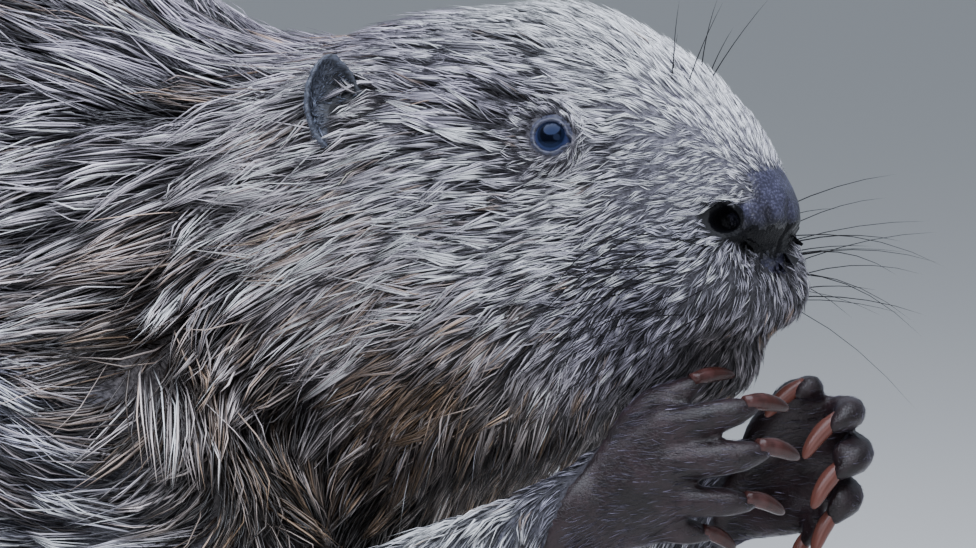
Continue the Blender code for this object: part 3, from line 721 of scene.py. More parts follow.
# Hand and foot leather: nearly black skin, creased in a fine net and thinly haired, with a cool sheen where wet.
def makeHandLeather():
    material, tree, shader = newMaterial("crinkledHandLeather")
    place = addNode(tree, "TexCoord").outputs["Object"]
    net = addNode(tree, "TexVoronoi", {"Vector": place, "Scale": 1 / (1.0 * mm)}, feature="DISTANCE_TO_EDGE")
    crease = addNode(tree, "MapRange", {"Value": net, "From Max": 0.12})
    grain = addNode(tree, "TexNoise", {"Vector": place, "Scale": 1 / (0.9 * mm), "Detail": 3.0})
    mottle = addNode(tree, "TexNoise", {"Vector": place, "Scale": 1 / (9 * mm), "Detail": 3.0})
    base = blend(tree, mottle, 0.35, 0.68, rgba("#120a0a"), rgba("#2b1d20"))
    colour = shade(tree, base, grain, 0.3, 0.7, 0.7, 1.35)
    height = addNode(tree, "Math", {0: crease, 1: grain}, operation="ADD")
    bump = addNode(tree, "Bump", {"Height": height, "Strength": 0.35, "Distance": 0.2 * mm})
    rough = addNode(tree, "MapRange", {"Value": mottle, "To Min": 0.26, "To Max": 0.46})
    wire(shader, {"Base Color": colour, "Roughness": rough, "Normal": bump, "Specular IOR Level": 0.38,
                  "Sheen Weight": 0.05, "Sheen Roughness": 0.4, "Sheen Tint": rgba("#b9b6d6")})
    return material


# Ear and eyelid skin: thin, slate blue and finely haired, so that it is streaked and half matt.
def makeThinSkin(name, darkHex, paleHex, roughness, grainSize):
    material, tree, shader = newMaterial(name)
    place = addNode(tree, "TexCoord").outputs["Object"]
    drawn = addNode(tree, "Mapping", {"Vector": place, "Scale": (0.3, 0.6, 1.0)})
    grain = addNode(tree, "TexNoise", {"Vector": drawn, "Scale": 1 / grainSize, "Detail": 3.0})
    colour = blend(tree, grain, 0.35, 0.65, rgba(darkHex), rgba(paleHex))
    bump = addNode(tree, "Bump", {"Height": grain, "Strength": 0.5, "Distance": 0.2 * mm})
    wire(shader, {"Base Color": paintHollowShade(tree, colour), "Normal": bump, "Roughness": roughness})
    return material


# Tail horn: thin keratin scales, nearly black, rubbed paler on their crowns.
def makeTailHorn(name, darkHex, paleHex):
    material, tree, shader = newMaterial(name)
    place = addNode(tree, "TexCoord").outputs["Object"]
    wear = addNode(tree, "TexNoise", {"Vector": place, "Scale": 1 / (11 * mm), "Detail": 5.0})
    grain = addNode(tree, "TexNoise", {"Vector": place, "Scale": 1 / (0.8 * mm), "Detail": 2.0})
    colour = blend(tree, wear, 0.35, 0.7, rgba(darkHex), rgba(paleHex))
    rough = addNode(tree, "MapRange", {"Value": grain, "To Min": 0.35, "To Max": 0.62})
    bump = addNode(tree, "Bump", {"Height": grain, "Strength": 0.35, "Distance": 0.2 * mm})
    wire(shader, {"Base Color": colour, "Roughness": rough, "Normal": bump})
    return material


# Where the skin changes from one look to another. Edges wander by a little noise.
skinEdges = {"noiseScale": 420, "noise": 0.28, "leather": 0.5, "shaded": 0.8}


def dressSkin(skin):
    # gives each face of the skin the material of the part of the body it covers
    looks = {
        "fur": makeUnderfur(),
        "pad": makeNoseLeather("pebbledNoseLeather", "#2b2935", "#55546c", 0.30, 0.34),
        "hand": makeHandLeather(),
        "tail": makeTailHorn("darkTailHide", "#171413", "#2b2623"),
        "ear": makeThinSkin("hairedEarSkin", "#23252c", "#565b69", 0.6, 0.5 * mm),
        "lid": makeThinSkin("wetLidSkin", "#1e1f28", "#484a5e", 0.42, 0.7 * mm),
        "nostril": makeNoseLeather("shadedNostrilSkin", "#15151a", "#24242c", 0.5, 0.12),
    }
    for look in looks.values():
        skin.data.materials.append(look)
    number = {name: k for k, name in enumerate(looks)}
    chosen = np.zeros(len(skin.data.polygons), np.int32)
    for part, look in {"hand": "hand", "foot": "hand", "tail": "tail", "ear": "ear"}.items():
        chosen[ownedBy[part]] = number[look]
    wander = [noise_vector(Vector(p) * skinEdges["noiseScale"])[0] for p in ground.middles]
    ragged = np.array(wander) * skinEdges["noise"]
    chosen[leather + ragged * (leather > 0.05) > skinEdges["leather"]] = number["pad"]
    deep = read(skin.data.attributes["hollow"].data, "value")[ground.corners].mean(axis=1)
    # where the painted shade is deepest, a darker and duller copy of the nose leather is painted shade
    chosen[(chosen == number["pad"]) & (deep + ragged > skinEdges["shaded"])] = number["nostril"]
    chosen[ownedBy["tail"] & (fromNose[:, 0] > tailPlan["bareFrom"])] = number["fur"]
    chosen[eyeDistance(ground.middles)[0] < lidPlan["bareTo"]] = number["lid"]
    skin.data.polygons.foreach_set("material_index", chosen)
    skin.data.update()


def paintCoat(mesh, root, tip):
    # the coat's markings, as two colours at each point
    for name, tone in (("rootTone", root), ("tipTone", tip)):
        addLayer(mesh, name, np.hstack([tone, np.ones((len(tone), 1))]), "FLOAT_COLOR")


def unwrapSkin(skin):
    # unfolds the skin's own surface; each lock takes its baked colour from its root's place on this
    bpy.context.view_layer.objects.active = skin
    skin.select_set(True)
    bpy.ops.object.mode_set(mode="EDIT")
    bpy.ops.mesh.select_all(action="SELECT")
    bpy.ops.uv.smart_project(angle_limit=math.radians(66), island_margin=0.002)
    bpy.ops.object.mode_set(mode="OBJECT")
    skin.select_set(False)
    skin.data.uv_layers[0].name = "OFBake"


paintCoat(skin.data, *coatAt(pointsOf(skin.data))[3:5])
unwrapSkin(skin)
report("skin unwrapped")


class Ground:
    # what the coat grows on: the skin's triangles, with their areas, owners and unwrapped places
    def __init__(self, skin):
        mesh = skin.data
        mesh.calc_loop_triangles()
        self.points, self.normals = pointsOf(mesh), normalsOf(mesh)
        self.corners = read(mesh.loop_triangles, "vertices", 3, np.int32)
        loops = read(mesh.loop_triangles, "loops", 3, np.int32)
        self.unwrapped = read(mesh.uv_layers["OFBake"].data, "uv", 2)[loops]
        a, b, c = (self.points[self.corners[:, k]] for k in range(3))
        self.areas = np.linalg.norm(np.cross(b - a, c - a), axis=1) / 2
        self.middles = (a + b + c) / 3
        self.tree = BVHTree.FromPolygons([Vector(p) for p in self.points], self.corners.tolist())
        self.owners = np.array(fleshNodes)[nearestNode(nodeFinder(fleshNodes), self.middles)]
        self.faceNormals = unit(self.normals[self.corners].mean(axis=1))

    def scatter(self, share, count, rng):
        # roots spread evenly over the skin where share is above 0
        total = np.cumsum(self.areas * share)
        picks = np.searchsorted(total, (np.arange(count) + rng.random(count)) / count * total[-1])
        picks = np.minimum(picks, len(total) - 1)
        r, t = np.sqrt(rng.random(count))[:, None], rng.random(count)[:, None]
        mix = np.stack([1 - r, r * (1 - t), r * t], axis=1)
        corners = self.corners[picks]
        spots = (self.points[corners] * mix).sum(axis=1)
        ups = unit((self.normals[corners] * mix).sum(axis=1))
        return spots, ups, (self.unwrapped[picks] * mix).sum(axis=1)

    def settle(self, points):
        # the nearest places on the skin, and the way it faces there
        found = [self.tree.find_nearest(p) for p in points]
        return np.array([f[0] for f in found]), self.faceNormals[[f[2] for f in found]]

    def under(self, start, way):
        # where a straight line meets the skin, the way the skin faces there, and which triangle it is
        return self.tree.ray_cast(Vector(start), Vector(way))[:3]


ground = Ground(skin)
report("ground for the coat is ready")


def rodShape(corners, stations):
    # a rod one long with rings of corners at each station, closed at the root and pointed at the tip
    bm = bmesh.new()
    bmesh.ops.create_cone(bm, cap_ends=True, cap_tris=False, segments=corners, radius1=1, radius2=1, depth=1)
    bmesh.ops.translate(bm, verts=bm.verts, vec=(0, 0, 0.5))
    for share in stations[1:]:
        whole = [*bm.verts, *bm.edges, *bm.faces]
        bmesh.ops.bisect_plane(bm, geom=whole, plane_co=(0, 0, share), plane_no=(0, 0, 1))
    bmesh.ops.pointmerge(bm, verts=[v for v in bm.verts if v.co.z > 0.999], merge_co=(0, 0, 1))
    bmesh.ops.recalc_face_normals(bm, faces=bm.faces)
    return bm


def lockShape(stations):
    # a three-sided lock with a ridge on top: for each vertex how far across and how high it is, and its ring
    bm = rodShape(3, stations)
    bm.verts.index_update()
    spots = np.array([v.co for v in bm.verts])
    faces = [[v.index for v in f.verts] for f in bm.faces]
    bm.free()
    across, rise = spots[:, 0] / math.sqrt(3), (spots[:, 1] + 0.5) / 1.5
    rings = np.array([int(np.argmin([abs(z - s) for s in (*stations, 1)])) for z in spots[:, 2]])
    tip = rings == len(stations)
    return np.where(tip, 0, across), np.where(tip, 0, rise), rings, faces


def eyeDistance(points):
    # distance from the nearer eye's axis in mm, and the way away from it
    best, away = np.full(len(points), 99.0), np.zeros((len(points), 3))
    for side in sides:
        centre, _ = eyeBall(side)
        offset = (points - centre) / mm
        offset -= dots(offset, eyeAxes[side]) * eyeAxes[side]
        distance = np.linalg.norm(offset, axis=1)
        nearer = (distance < best) & (np.abs(points[:, 1] - centre[1]) < lidPlan["across"] * mm)
        best[nearer] = distance[nearer]
        away[nearer] = unit(offset)[nearer]
    return best, away


# The hollow of an ear, in mm from the middle of the ear's solid. Locks keep out of it, and a tuft grows ahead.
earRoom = {"middle": -2.5, "half": 8.5, "tall": 15.0, "near": -8.0, "far": 16.0,
           "tuft": (-22, -10), "tuftTall": 12, "tuftReach": 34}


def overEar(centres):
    # whether any ring of each lock lies in front of an ear's opening
    crossing = np.zeros(len(centres), bool)
    for centre, tall, broad, through in earFrames.values():
        offset = (centres - centre) / mm
        b, t, w = offset @ broad, offset @ tall, offset @ through
        half = earRoom["half"] * np.sqrt(np.clip(1 - (t / earRoom["tall"]) ** 2, 0, 1))
        inside = (np.abs(b - earRoom["middle"]) < half) & (w > earRoom["near"]) & (w < earRoom["far"])
        crossing |= inside.any(axis=1)
    return crossing


def aheadOfEars():
    # the strip of skin just in front of each ear's hollow
    share = np.zeros(len(ground.middles))
    back, front = earRoom["tuft"]
    for centre, tall, broad, _ in earFrames.values():
        offset = (ground.middles - centre) / mm
        b, t = offset @ broad, offset @ tall
        near = (b > back) * (b < front) * (np.abs(t) < earRoom["tuftTall"])
        share += near * (np.linalg.norm(offset, axis=1) < earRoom["tuftReach"]) * ~ownedBy["ear"]
    return share


# How wet hair behaves in every piece of the coat.
wetHair = {
    "lengths": (0.65, 1.15),
    "nearEyes": (7.0, 0.9, 3.5),  # mm from an eye's axis, growth in length from there, and the length at it, mm
    "parting": (10, 0.2, 1.1),  # round the eyes: reach in mm, push away, and turn of hair that points inwards
    "looseStray": 1.2,  # what sets a loose hair apart from the tufts
    "looseRise": 0.25,
    "looseThin": 0.3,
    "looseFree": 0.85,
    "pulls": (0.75, 1.0),
    "pullHeights": (0.2, 0.6),  # over which the upper locks take more of the pull
    "lowPull": 0.25,
    "lockRust": 0.35,  # rusty single locks, as a share of the rusty tufts
    "rust": (0.3, 0.85),
    "rustRoot": (0.4, 0.25),  # share of rust in a root, and how dark it is
    "palest": 0.95,
    "finest": 0.45,
    "widths": 0.3,  # variety of the locks' widths
    "seat": 0.3,  # share of a lock's thickness under its middle line
}
patch = 0.003  # size of each lock on the skin's unwrap


def lockPaths(roots, ups, lengths, depths, heights, loose, plan, rng):
    # where each lock's rings and tip lie, and the way the skin faces under each
    stations = (*plan["stations"], 1.0)
    count = len(roots)
    drift = np.array([noise_vector(Vector(p) * plan["swirlScale"]) for p in roots]) * plan["swirl"]
    astray = (1 + wetHair["looseStray"] * loose)[:, None]
    sway = rng.normal(0, 1, count)[:, None] * math.tan(math.radians(plan["stray"])) * astray
    bend = rng.normal(0, 1, count)[:, None] * math.tan(math.radians(plan["curl"]))
    point, up = roots, ups
    beds, facings, risen = [], [], []
    low, high = plan["lift"]
    rise = (low + (high - low) * heights)[:, None] * depths[:, None] * (1 + wetHair["looseRise"] * loose)[:, None]
    partReach, partPush, partTurn = wetHair["parting"]
    done = 0.0
    for station in stations:
        if station > 0:
            lie = (coatAt(point)[0] if plan["lie"] is None else np.tile(plan["lie"], (count, 1))) + drift
            distance, away = eyeDistance(point)
            # The hair parts round each eye.
            inwards = np.minimum(dots(lie, away), 0)
            lie += away * bell(distance[:, None], partReach) * (partPush - partTurn * inwards)
            lie = unit(lie - up * dots(lie, up))
            lie = unit(lie + np.cross(up, lie) * (sway + bend * (station - 0.5)))
            lie = unit(lie + np.array(plan["drop"]))
            target = point + lie * (lengths * (station - done))[:, None]
            point, up = ground.settle(target)
            point = point + (target - point) * (1 - plan["cling"])
        beds.append(point)
        facings.append(up)
        risen.append(rise * (1 - (1 - station) ** 2) - plan["sunk"] * (1 - station))
        done = station
    beds, facings, risen = (np.stack(rows, axis=1) for rows in (beds, facings, risen))
    # Wet hair lies nearly straight from root to tip.
    share = np.array(stations)[None, :, None]
    beds += plan["straight"] * (beds[:, :1] * (1 - share) + beds[:, -1:] * share - beds)
    return beds + facings * risen, facings


def gather(centres, loose, heights, plan, rng):
    # draws each lock towards the nearest leader, more at the tip and in the upper coat, as wet hair does; also
    # says which leader
    leaders = rng.permutation(len(centres))[: max(1, len(centres) // plan["clump"])]
    tree = KDTree(len(leaders))
    for i, k in enumerate(leaders):
        tree.insert(centres[k, 0], i)
    tree.balance()
    near = leaders[[tree.find(p)[1] for p in centres[:, 0]]]
    reach = np.linalg.norm(centres[near, 0] - centres[:, 0], axis=1)
    pull = plan["pull"] * rng.uniform(*wetHair["pulls"], len(centres)) * (reach < plan["clumpReach"])
    pull = pull * (1 - wetHair["looseFree"] * loose)
    low = wetHair["lowPull"]
    pull = pull * (low + (1 - low) * smoothStep(*wetHair["pullHeights"], heights))
    share = pull[:, None, None] * np.array((*plan["stations"], 1.0))[None, :, None]
    return centres + (centres[near] - centres) * share, near


def lockTones(roots, near, heights, plan, rng):
    # Markings: the region's own two colours, paler or darker from tuft to tuft and lock to lock, and rusty here
    # and there.
    count = len(roots)
    rootTone, tipTone, rusty = coatAt(roots)[3:]
    if "tones" in plan:
        rootTone, tipTone = (np.tile(hexColour(tone), (count, 1)) for tone in plan["tones"])
        rusty = rusty * 0
    tint = rng.lognormal(0, plan["tuftVariety"], count)[near] * rng.lognormal(0, plan["variety"], count)
    # painted shade and light: the lower locks are darker and the upper ones paler, so that the coat's layers read as
    # depth
    tint *= plan["lowLockShade"] + (plan["highLockLight"] - plan["lowLockShade"]) * smoothStep(*plan["paleFrom"], heights)
    rusted = (rng.random(count)[near] < rusty) | (rng.random(count) < wetHair["lockRust"] * rusty)
    rust = (rusted * rng.uniform(*wetHair["rust"], count))[:, None]
    tip = (tipTone * (1 - rust) + np.array(hexColour(rustHex)) * rust) * tint[:, None]
    share, dark = wetHair["rustRoot"]
    root = rootTone * (1 - share * rust) + np.array(hexColour(rustHex, dark)) * share * rust
    return root, np.clip(tip, 0, wetHair["palest"])


def clearLocks(centres, plan):
    # No lock lies over an eye or a nostril, and few over the hollow of an ear.
    crossing = np.min([eyeDistance(centres[:, k])[0] for k in range(centres.shape[1])], axis=0)
    kept = crossing > plan["eyeRoom"]
    for hole in nostrils:
        kept &= np.linalg.norm(centres - hole, axis=2).min(axis=1) > plan["nostrilRoom"] * mm
    return kept & ~overEar(centres) if plan["clearEars"] else kept


def joinedLocks(name, spots, faces):
    # one mesh of many copies of a shape, with a row of points for each copy
    count, each, _ = spots.shape
    mesh = bpy.data.meshes.new(name)
    corners = np.concatenate(faces)
    starts = np.cumsum([0] + [len(f) for f in faces[:-1]])
    order = np.arange(count)[:, None]
    mesh.vertices.add(count * each)
    mesh.vertices.foreach_set("co", spots.astype(np.float32).ravel())
    mesh.loops.add(count * len(corners))
    mesh.loops.foreach_set("vertex_index", (order * each + corners).astype(np.int32).ravel())
    mesh.polygons.add(count * len(faces))
    mesh.polygons.foreach_set("loop_start", (order * len(corners) + starts).astype(np.int32).ravel())
    mesh.update(calc_edges=True)
    return mesh, corners


def growLocks(name, plan, share, material, replaced):
    # one coat piece: locks rooted on the skin where share is above 0
    rng = np.random.default_rng(plan["seed"])
    roots, ups, unwrapped = ground.scatter(share, plan["count"], rng)
    _, depths, lengths, *_ = coatAt(roots)
    loose = rng.random(len(roots)) < plan["loose"]
    lengths = lengths * plan["length"] * rng.uniform(*wetHair["lengths"], len(roots))
    # Short round the eyes.
    near, longer, least = wetHair["nearEyes"]
    lengths = np.minimum(lengths, (np.maximum(eyeDistance(roots)[0] - near, 0) * longer + least) * mm)
    heights = rng.random(len(roots))
    centres, facings = lockPaths(roots, ups, lengths, depths, heights, loose, plan, rng)
    near = np.arange(len(roots))
    if plan["clump"] > 1:
        centres, near = gather(centres, loose, heights, plan, rng)
    root, tip = lockTones(roots, near, heights, plan, rng)
    kept = clearLocks(centres, plan)
    centres, facings, unwrapped, lengths, root, tip, loose = (
        values[kept] for values in (centres, facings, unwrapped, lengths, root, tip, loose))
    count = len(centres)
    across, rise, rings, faces = lockShape(plan["stations"])
    along = unit(np.gradient(centres, axis=1))
    up = unit(facings - along * dots(facings, along))
    side = np.cross(up, along)
    roll = np.radians(rng.normal(0, plan["roll"], count))[:, None, None]
    side, up = side * np.cos(roll) + up * np.sin(roll), up * np.cos(roll) - side * np.sin(roll)
    # Short locks are finer.
    fine = np.clip(lengths / plan["fullLength"], wetHair["finest"], 1.0) * rng.lognormal(0, wetHair["widths"], count)
    fine = fine * (1 - wetHair["looseThin"] * loose)
    wide = plan["width"] * fine[:, None] * np.array((*plan["taper"], 0.0))[None, :]
    spots = (centres[:, rings] + side[:, rings] * (wide[:, rings] * across)[..., None]
             + up[:, rings] * (wide[:, rings] * (rise - wetHair["seat"]) * plan["thick"])[..., None])
    spots[..., 2] = np.maximum(spots[..., 2], skinPlan["coatFloor"])
    mesh, corners = joinedLocks(name, spots, faces)
    station = np.array((*plan["stations"], 1.0))[rings]
    onLock = np.stack([across + 0.5, station + 0.04 * rise], axis=1)[corners]
    for label, layer in (("lockUv", np.broadcast_to(onLock, (count, *onLock.shape))),
                         ("OFBake", unwrapped[:, None] + (onLock - 0.5) * patch)):
        mesh.uv_layers.new(name=label).data.foreach_set("uv", np.ascontiguousarray(layer, np.float32).ravel())
    each = len(rings)
    paintCoat(mesh, np.repeat(root, each, axis=0), np.repeat(tip, each, axis=0))
    addLayer(mesh, "lockChance", np.repeat(rng.random(count), each))
    finishPiece(addObject(name, mesh), replaced, material)
    report(f"{name}: {count} locks, {sum(len(f) - 2 for f in faces) * count} triangles")


# Wet guard hair: keratin under a film of water. Each lock is a bundle of hairs stuck together, so it has
# fine streaks along it, a dark root, a pale tip and a soft shine.
def makeGuardHair(name, hairsAcross):
    material, tree, shader = newMaterial(name)
    place = addNode(tree, "UVMap", uv_map="lockUv")
    chance = addNode(tree, "Attribute", attribute_name="lockChance").outputs["Fac"]
    root = addNode(tree, "Attribute", attribute_name="rootTone")
    tip = addNode(tree, "Attribute", attribute_name="tipTone")
    parts = addNode(tree, "SeparateXYZ", {"Vector": place})
    shift = addNode(tree, "Math", {0: chance, 1: 70.0}, operation="MULTIPLY")
    offset = addNode(tree, "CombineXYZ", {"X": shift})
    spread = addNode(tree, "VectorMath", {0: place, 1: (hairsAcross, 1.6, 1.0)}, operation="MULTIPLY")
    moved = addNode(tree, "VectorMath", {0: spread, 1: offset}, operation="ADD")
    hairs = addNode(tree, "TexNoise", {"Vector": moved, "Scale": 1.0, "Detail": 2.0})
    colour = blend(tree, parts.outputs["Y"], 0.05, 0.75, root, tip)
    shown = shade(tree, colour, hairs, 0.32, 0.68, 0.38, 1.65)
    bump = addNode(tree, "Bump", {"Height": hairs, "Strength": 0.6, "Distance": 0.25 * mm})
    wire(shader, {"Base Color": shown, "Normal": bump, "Roughness": 0.32, "IOR": 1.55})
    return material


# The tail: scales on the bare paddle, in rows across it, each row set half a plate along.
tailPlan = {
    "bareFrom": -622.0,  # where the paddle starts, mm from the tip of the nose
    "step": 5.4,  # between rows, mm
    "apart": 6.6,  # between plates in a row, mm
    "half": 3.5,
    "rise": 0.9,
    "columns": 14,  # on each side of the middle
    "steepest": 0.25,  # least upward share of the way the skin faces, for a plate to sit there
    "sizes": (0.92, 1.06),
    "tilts": (-5, 1),  # degrees
    "endShrink": 0.25,
    "seed": 3,
}
eyeAxes = {side: eyeAxis(skin, side) for side in sides}
fromNose = inMm(ground.middles)
ownedBy = {part: np.array([o.startswith(part) for o in ground.owners]) for part in
           ("head", "neck", "trunk", "thigh", "upper_arm", "forearm", "hand", "foot", "tail", "nose", "ear")}
leather = leatherAt(ground.middles)
onSide = {"right": ground.middles[:, 1] <= 0, "left": ground.middles[:, 1] > 0}
dressSkin(skin)

# Every coat piece: how many locks, their size, and how they lie. length scales the coat map's own lengths.
coatBasics = {
    "stations": (0.0, 0.45),  # rings along a lock, from its root; its tip is at 1
    "taper": (0.75, 1.0),  # width at each ring
    "thick": 0.55,
    "roll": 24,  # degrees
    "sunk": 0.5 * mm,
    "stray": 7,
    "curl": 10,
    "cling": 1.0,  # 1 follows the skin, 0 runs straight on
    "straight": 0.6,
    "drop": (0, 0, 0),
    "swirl": 0.22,
    "swirlScale": 45.0,
    "lift": (0.45, 1.05),  # height of the lowest and the highest locks' tips, as a share of the coat's depth
    "clump": 14,  # locks to a tuft
    "pull": 0.97,
    "clumpReach": 9 * mm,
    "loose": 0.10,
    "variety": 0.28,
    "tuftVariety": 0.38,
    "lowLockShade": 0.12,  # painted shade and light by height: how dark the lowest locks are and how pale the highest
    "highLockLight": 1.62,
    "paleFrom": (0.35, 0.9),
    "lie": None,
    "fullLength": 16 * mm,  # locks shorter than this are finer
    "eyeRoom": 6.1,
    "nostrilRoom": 4.7,
    "clearEars": True,
}
coatPlans = {
    "muzzle": {
        "seed": 11, "count": 18400, "width": 0.42 * mm, "length": 1.05, "clump": 10, "pull": 0.9, "lowLockShade": 0.2,
        "clumpReach": 3.5 * mm, "swirl": 0.4, "swirlScale": 110.0, "fullLength": 9 * mm, "paleFrom": (0.2, 0.8),
    },
    "face": {
        "seed": 23, "count": 18500, "width": 0.54 * mm, "length": 1.0, "clump": 17, "clumpReach": 8 * mm,
        "paleFrom": (0.38, 0.93),
    },
    "neck": {
        "seed": 37, "count": 12100, "width": 0.62 * mm, "length": 1.0, "clump": 30, "clumpReach": 17 * mm,
        "stations": (0.0, 0.33, 0.66), "taper": (0.75, 1.0, 0.8), "fullLength": 30 * mm, "paleFrom": (0.5, 0.97),
    },
    "trunk": {
        "seed": 51, "count": 16500, "width": 1.6 * mm, "length": 1.0, "clump": 10, "clumpReach": 18 * mm,
        "pull": 0.8, "swirlScale": 22.0, "fullLength": 40 * mm, "paleFrom": (0.4, 0.95),
    },
    "forearm": {"seed": 67, "count": 10000, "width": 0.7 * mm, "length": 1.0, "clumpReach": 6 * mm},
    "jaw": {
        "seed": 43, "count": 3600, "width": 0.6 * mm, "length": 0.9, "clump": 18, "clumpReach": 8 * mm,
        "cling": 0.0, "drop": (0, 0, -0.9), "lift": (0.2, 0.6),
    },
    "dangling": {
        "seed": 45, "count": 34, "width": 0.2 * mm, "length": 1.0, "clump": 1, "stray": 12, "cling": 0.0,
        "drop": (0, 0, -1.6), "lift": (0.8, 1.4), "tones": ("#77737c", "#dedce6"),
    },
    "earTufts": {
        "seed": 79, "count": 420, "width": 0.5 * mm, "length": 0.42, "clumpReach": 6 * mm, "cling": 0.0,
        "lift": (0.5, 1.0), "clearEars": False, "tones": ("#3a3333", "#d3ccd0"),
    },
    "ears": {
        "seed": 71, "count": 2000, "width": 0.32 * mm, "length": 0.10, "clump": 3, "clumpReach": 2 * mm,
        "pull": 0.4, "lift": (0.02, 0.08), "fullLength": 3 * mm, "clearEars": False,
        "tones": ("#20222b", "#646a7a"),
    },
    # the hands' pale lilac hair tips are partly painted sheen
    "hands": {
        "seed": 83, "count": 5600, "width": 0.15 * mm, "length": 0.8, "clump": 1, "lift": (0.08, 0.26),
        "fullLength": 4 * mm, "lie": (1.0, 0.0, 0.1), "tones": ("#141113", "#565160"),
    },
    "feet": {
        "seed": 97, "count": 2600, "width": 0.22 * mm, "length": 0.14, "clump": 1, "lift": (0.02, 0.06),
        "fullLength": 4 * mm, "tones": ("#141111", "#4b4441"),
    },
}
# Where the pieces of the coat start and end, mm back from the tip of the nose unless another way is said.
coatEdges = {
    "muzzle": (-62, -44),
    "bareNose": (0.35, 1.0),  # in leather
    "denseNose": (1.4, (-30, -16), (244, 254)),  # how much denser over the nose, back, and above the floor
    "face": (-56, -40),
    "denseEye": (1.6, 8, 13),  # how much denser round the eyes, and how far from them
    "shoulders": (-265, -225),
    "trunk": (-255, -215),
    "rump": (-625, -600),
    "jaw": ((-20, -34), (-128, -112), (212, 202), (0.35, -0.1)),  # ahead, behind, above the floor, upward share
    "dangling": (-32, -44),
    "danglingOut": 24,
    "hands": (1.5, -45, -20),  # how dense on the arm's end, and where it thins
    "feetAbove": 8,
}
fineHair = makeGuardHair("wetGuardHair", 4.0)
coarseHair = makeGuardHair("wetBackHair", 9.0)


def grow(name, kind, share, nodes, material=fineHair, side="right"):
    # the left side's locks are scattered another way than the right's
    plan = {**coatBasics, **coatPlans[kind]}
    growLocks(name, {**plan, "seed": plan["seed"] + (side == "left")}, share, material, nodes)


def growSides(side):
    # the face, the neck with the shoulder, and the trunk with the thigh
    x = fromNose[:, 0]
    denser, near, far = coatEdges["denseEye"]
    face = ownedBy["head"] * onSide[side] * (1 - smoothStep(*coatEdges["face"], x))
    face = face * (1 + denser * (1 - smoothStep(near, far, eyeDistance(ground.middles)[0])))
    grow(f"coatFace_{side}", "face", face, ["head"], side=side)
    shoulders = ownedBy["trunk"] * smoothStep(*coatEdges["shoulders"], x)
    neck = np.maximum(ownedBy["neck"] | ownedBy["upper_arm"], shoulders) * onSide[side]
    grow(f"coatNeck_{side}", "neck", neck, ["neck", "upper_arm_" + side], side=side)
    trunk = np.maximum(ownedBy["trunk"] * (1 - smoothStep(*coatEdges["trunk"], x)), ownedBy["thigh"])
    trunk = np.maximum(trunk, ownedBy["tail"] * smoothStep(*coatEdges["rump"], x)) * onSide[side]
    grow(f"coatTrunk_{side}", "trunk", trunk, ["trunk", "thigh_" + side], coarseHair, side)


def growCoat():
    x, y, z = fromNose.T
    muzzle = (ownedBy["head"] | ownedBy["nose"]) * smoothStep(*coatEdges["muzzle"], x)
    muzzle = muzzle * (1 - smoothStep(*coatEdges["bareNose"], leather))
    denser, back, above = coatEdges["denseNose"]
    muzzle = muzzle * (1 + denser * smoothStep(*back, x) * smoothStep(*above, z))
    grow("coatMuzzle", "muzzle", muzzle, ["head", "nose"])
    for side in sides:
        growSides(side)
    grow("coatForearms", "forearm", ownedBy["forearm"] * 1.0, ["forearm_right", "forearm_left"])
    # Longer hair hangs free under the jaw and the cheeks.
    ahead, behind, above, upward = coatEdges["jaw"]
    jaw = ownedBy["head"] * smoothStep(*ahead, x) * smoothStep(*behind, x)
    jaw = jaw * smoothStep(*above, z) * smoothStep(*upward, ground.faceNormals[:, 2])
    grow("coatJaw", "jaw", jaw, ["head"])
    low = jaw * smoothStep(*coatEdges["dangling"], x) * (np.abs(y) > coatEdges["danglingOut"])
    grow("coatDangling", "dangling", low, ["head"])
    grow("coatEarTufts", "earTufts", aheadOfEars(), ["head"])
    grow("coatEars", "ears", ownedBy["ear"] * 1.0, ["ear_right", "ear_left"])
    # Short hair lies flat on the hands, thinner towards the fingertips, and on the tops of the feet.
    dense, *thinning = coatEdges["hands"]
    grow("coatHands", "hands", ownedBy["hand"] * (dense - smoothStep(*thinning, x)), ["hand_right", "hand_left"])
    feet = ownedBy["foot"] * (ground.middles[:, 2] > coatEdges["feetAbove"] * mm)
    grow("coatFeet", "feet", feet, ["foot_right", "foot_left"])


growCoat()


def bendRod(bm, stations, centres, halfWide, halfHigh, upHint):
    # lays a rod along centres, with half sizes at each of its rings
    centres = np.array(centres)
    along = unit(np.gradient(centres, axis=0))
    side = unit(np.cross(np.broadcast_to(upHint, along.shape), along))
    up = np.cross(along, side)
    levels = np.array((*stations, 1.0))
    for vert in bm.verts:
        k = int(np.argmin(np.abs(levels - vert.co.z)))
        tip = k == len(stations)
        x, y = (0, 0) if tip else (vert.co.x * halfWide[k], vert.co.y * halfHigh[k])
        vert.co = Vector(centres[k] + side[k] * x + up[k] * y)


def addAlong(bm):
    # an unwrap with the way along the rod as v, kept before it is bent
    layer = bm.loops.layers.uv.new("alongUv")
    for face in bm.faces:
        for loop in face.loops:
            spot = loop.vert.co
            loop[layer].uv = (math.atan2(spot.y, spot.x) / (2 * math.pi) + 0.5, spot.z)


def setStops(ramp, stops):
    # a colour ramp's stops, as places and hex colours
    made = ramp.color_ramp.elements
    for k, (place, colour) in enumerate(stops):
        stop = made[k] if k < 2 else made.new(place)
        stop.position, stop.color = place, rgba(colour)


# Eyes: one wet ball each.
eyePlan = {
    "size": 0.985,  # share of the CAD ball's
    "bulge": 0.25,  # of the cornea, mm
    "bulgeFade": (10, 48),  # degrees from its middle
    # Colours at degrees from the middle: pupil, blue-black iris, paler rim and dark white. The blue in the iris and
    # the rim is partly painted sky reflection.
    "colours": ((27, "#020203"), (30, "#0b1020"), (36, "#0b1020"), (40, "#262f4c"), (48, "#3f4668")),
}


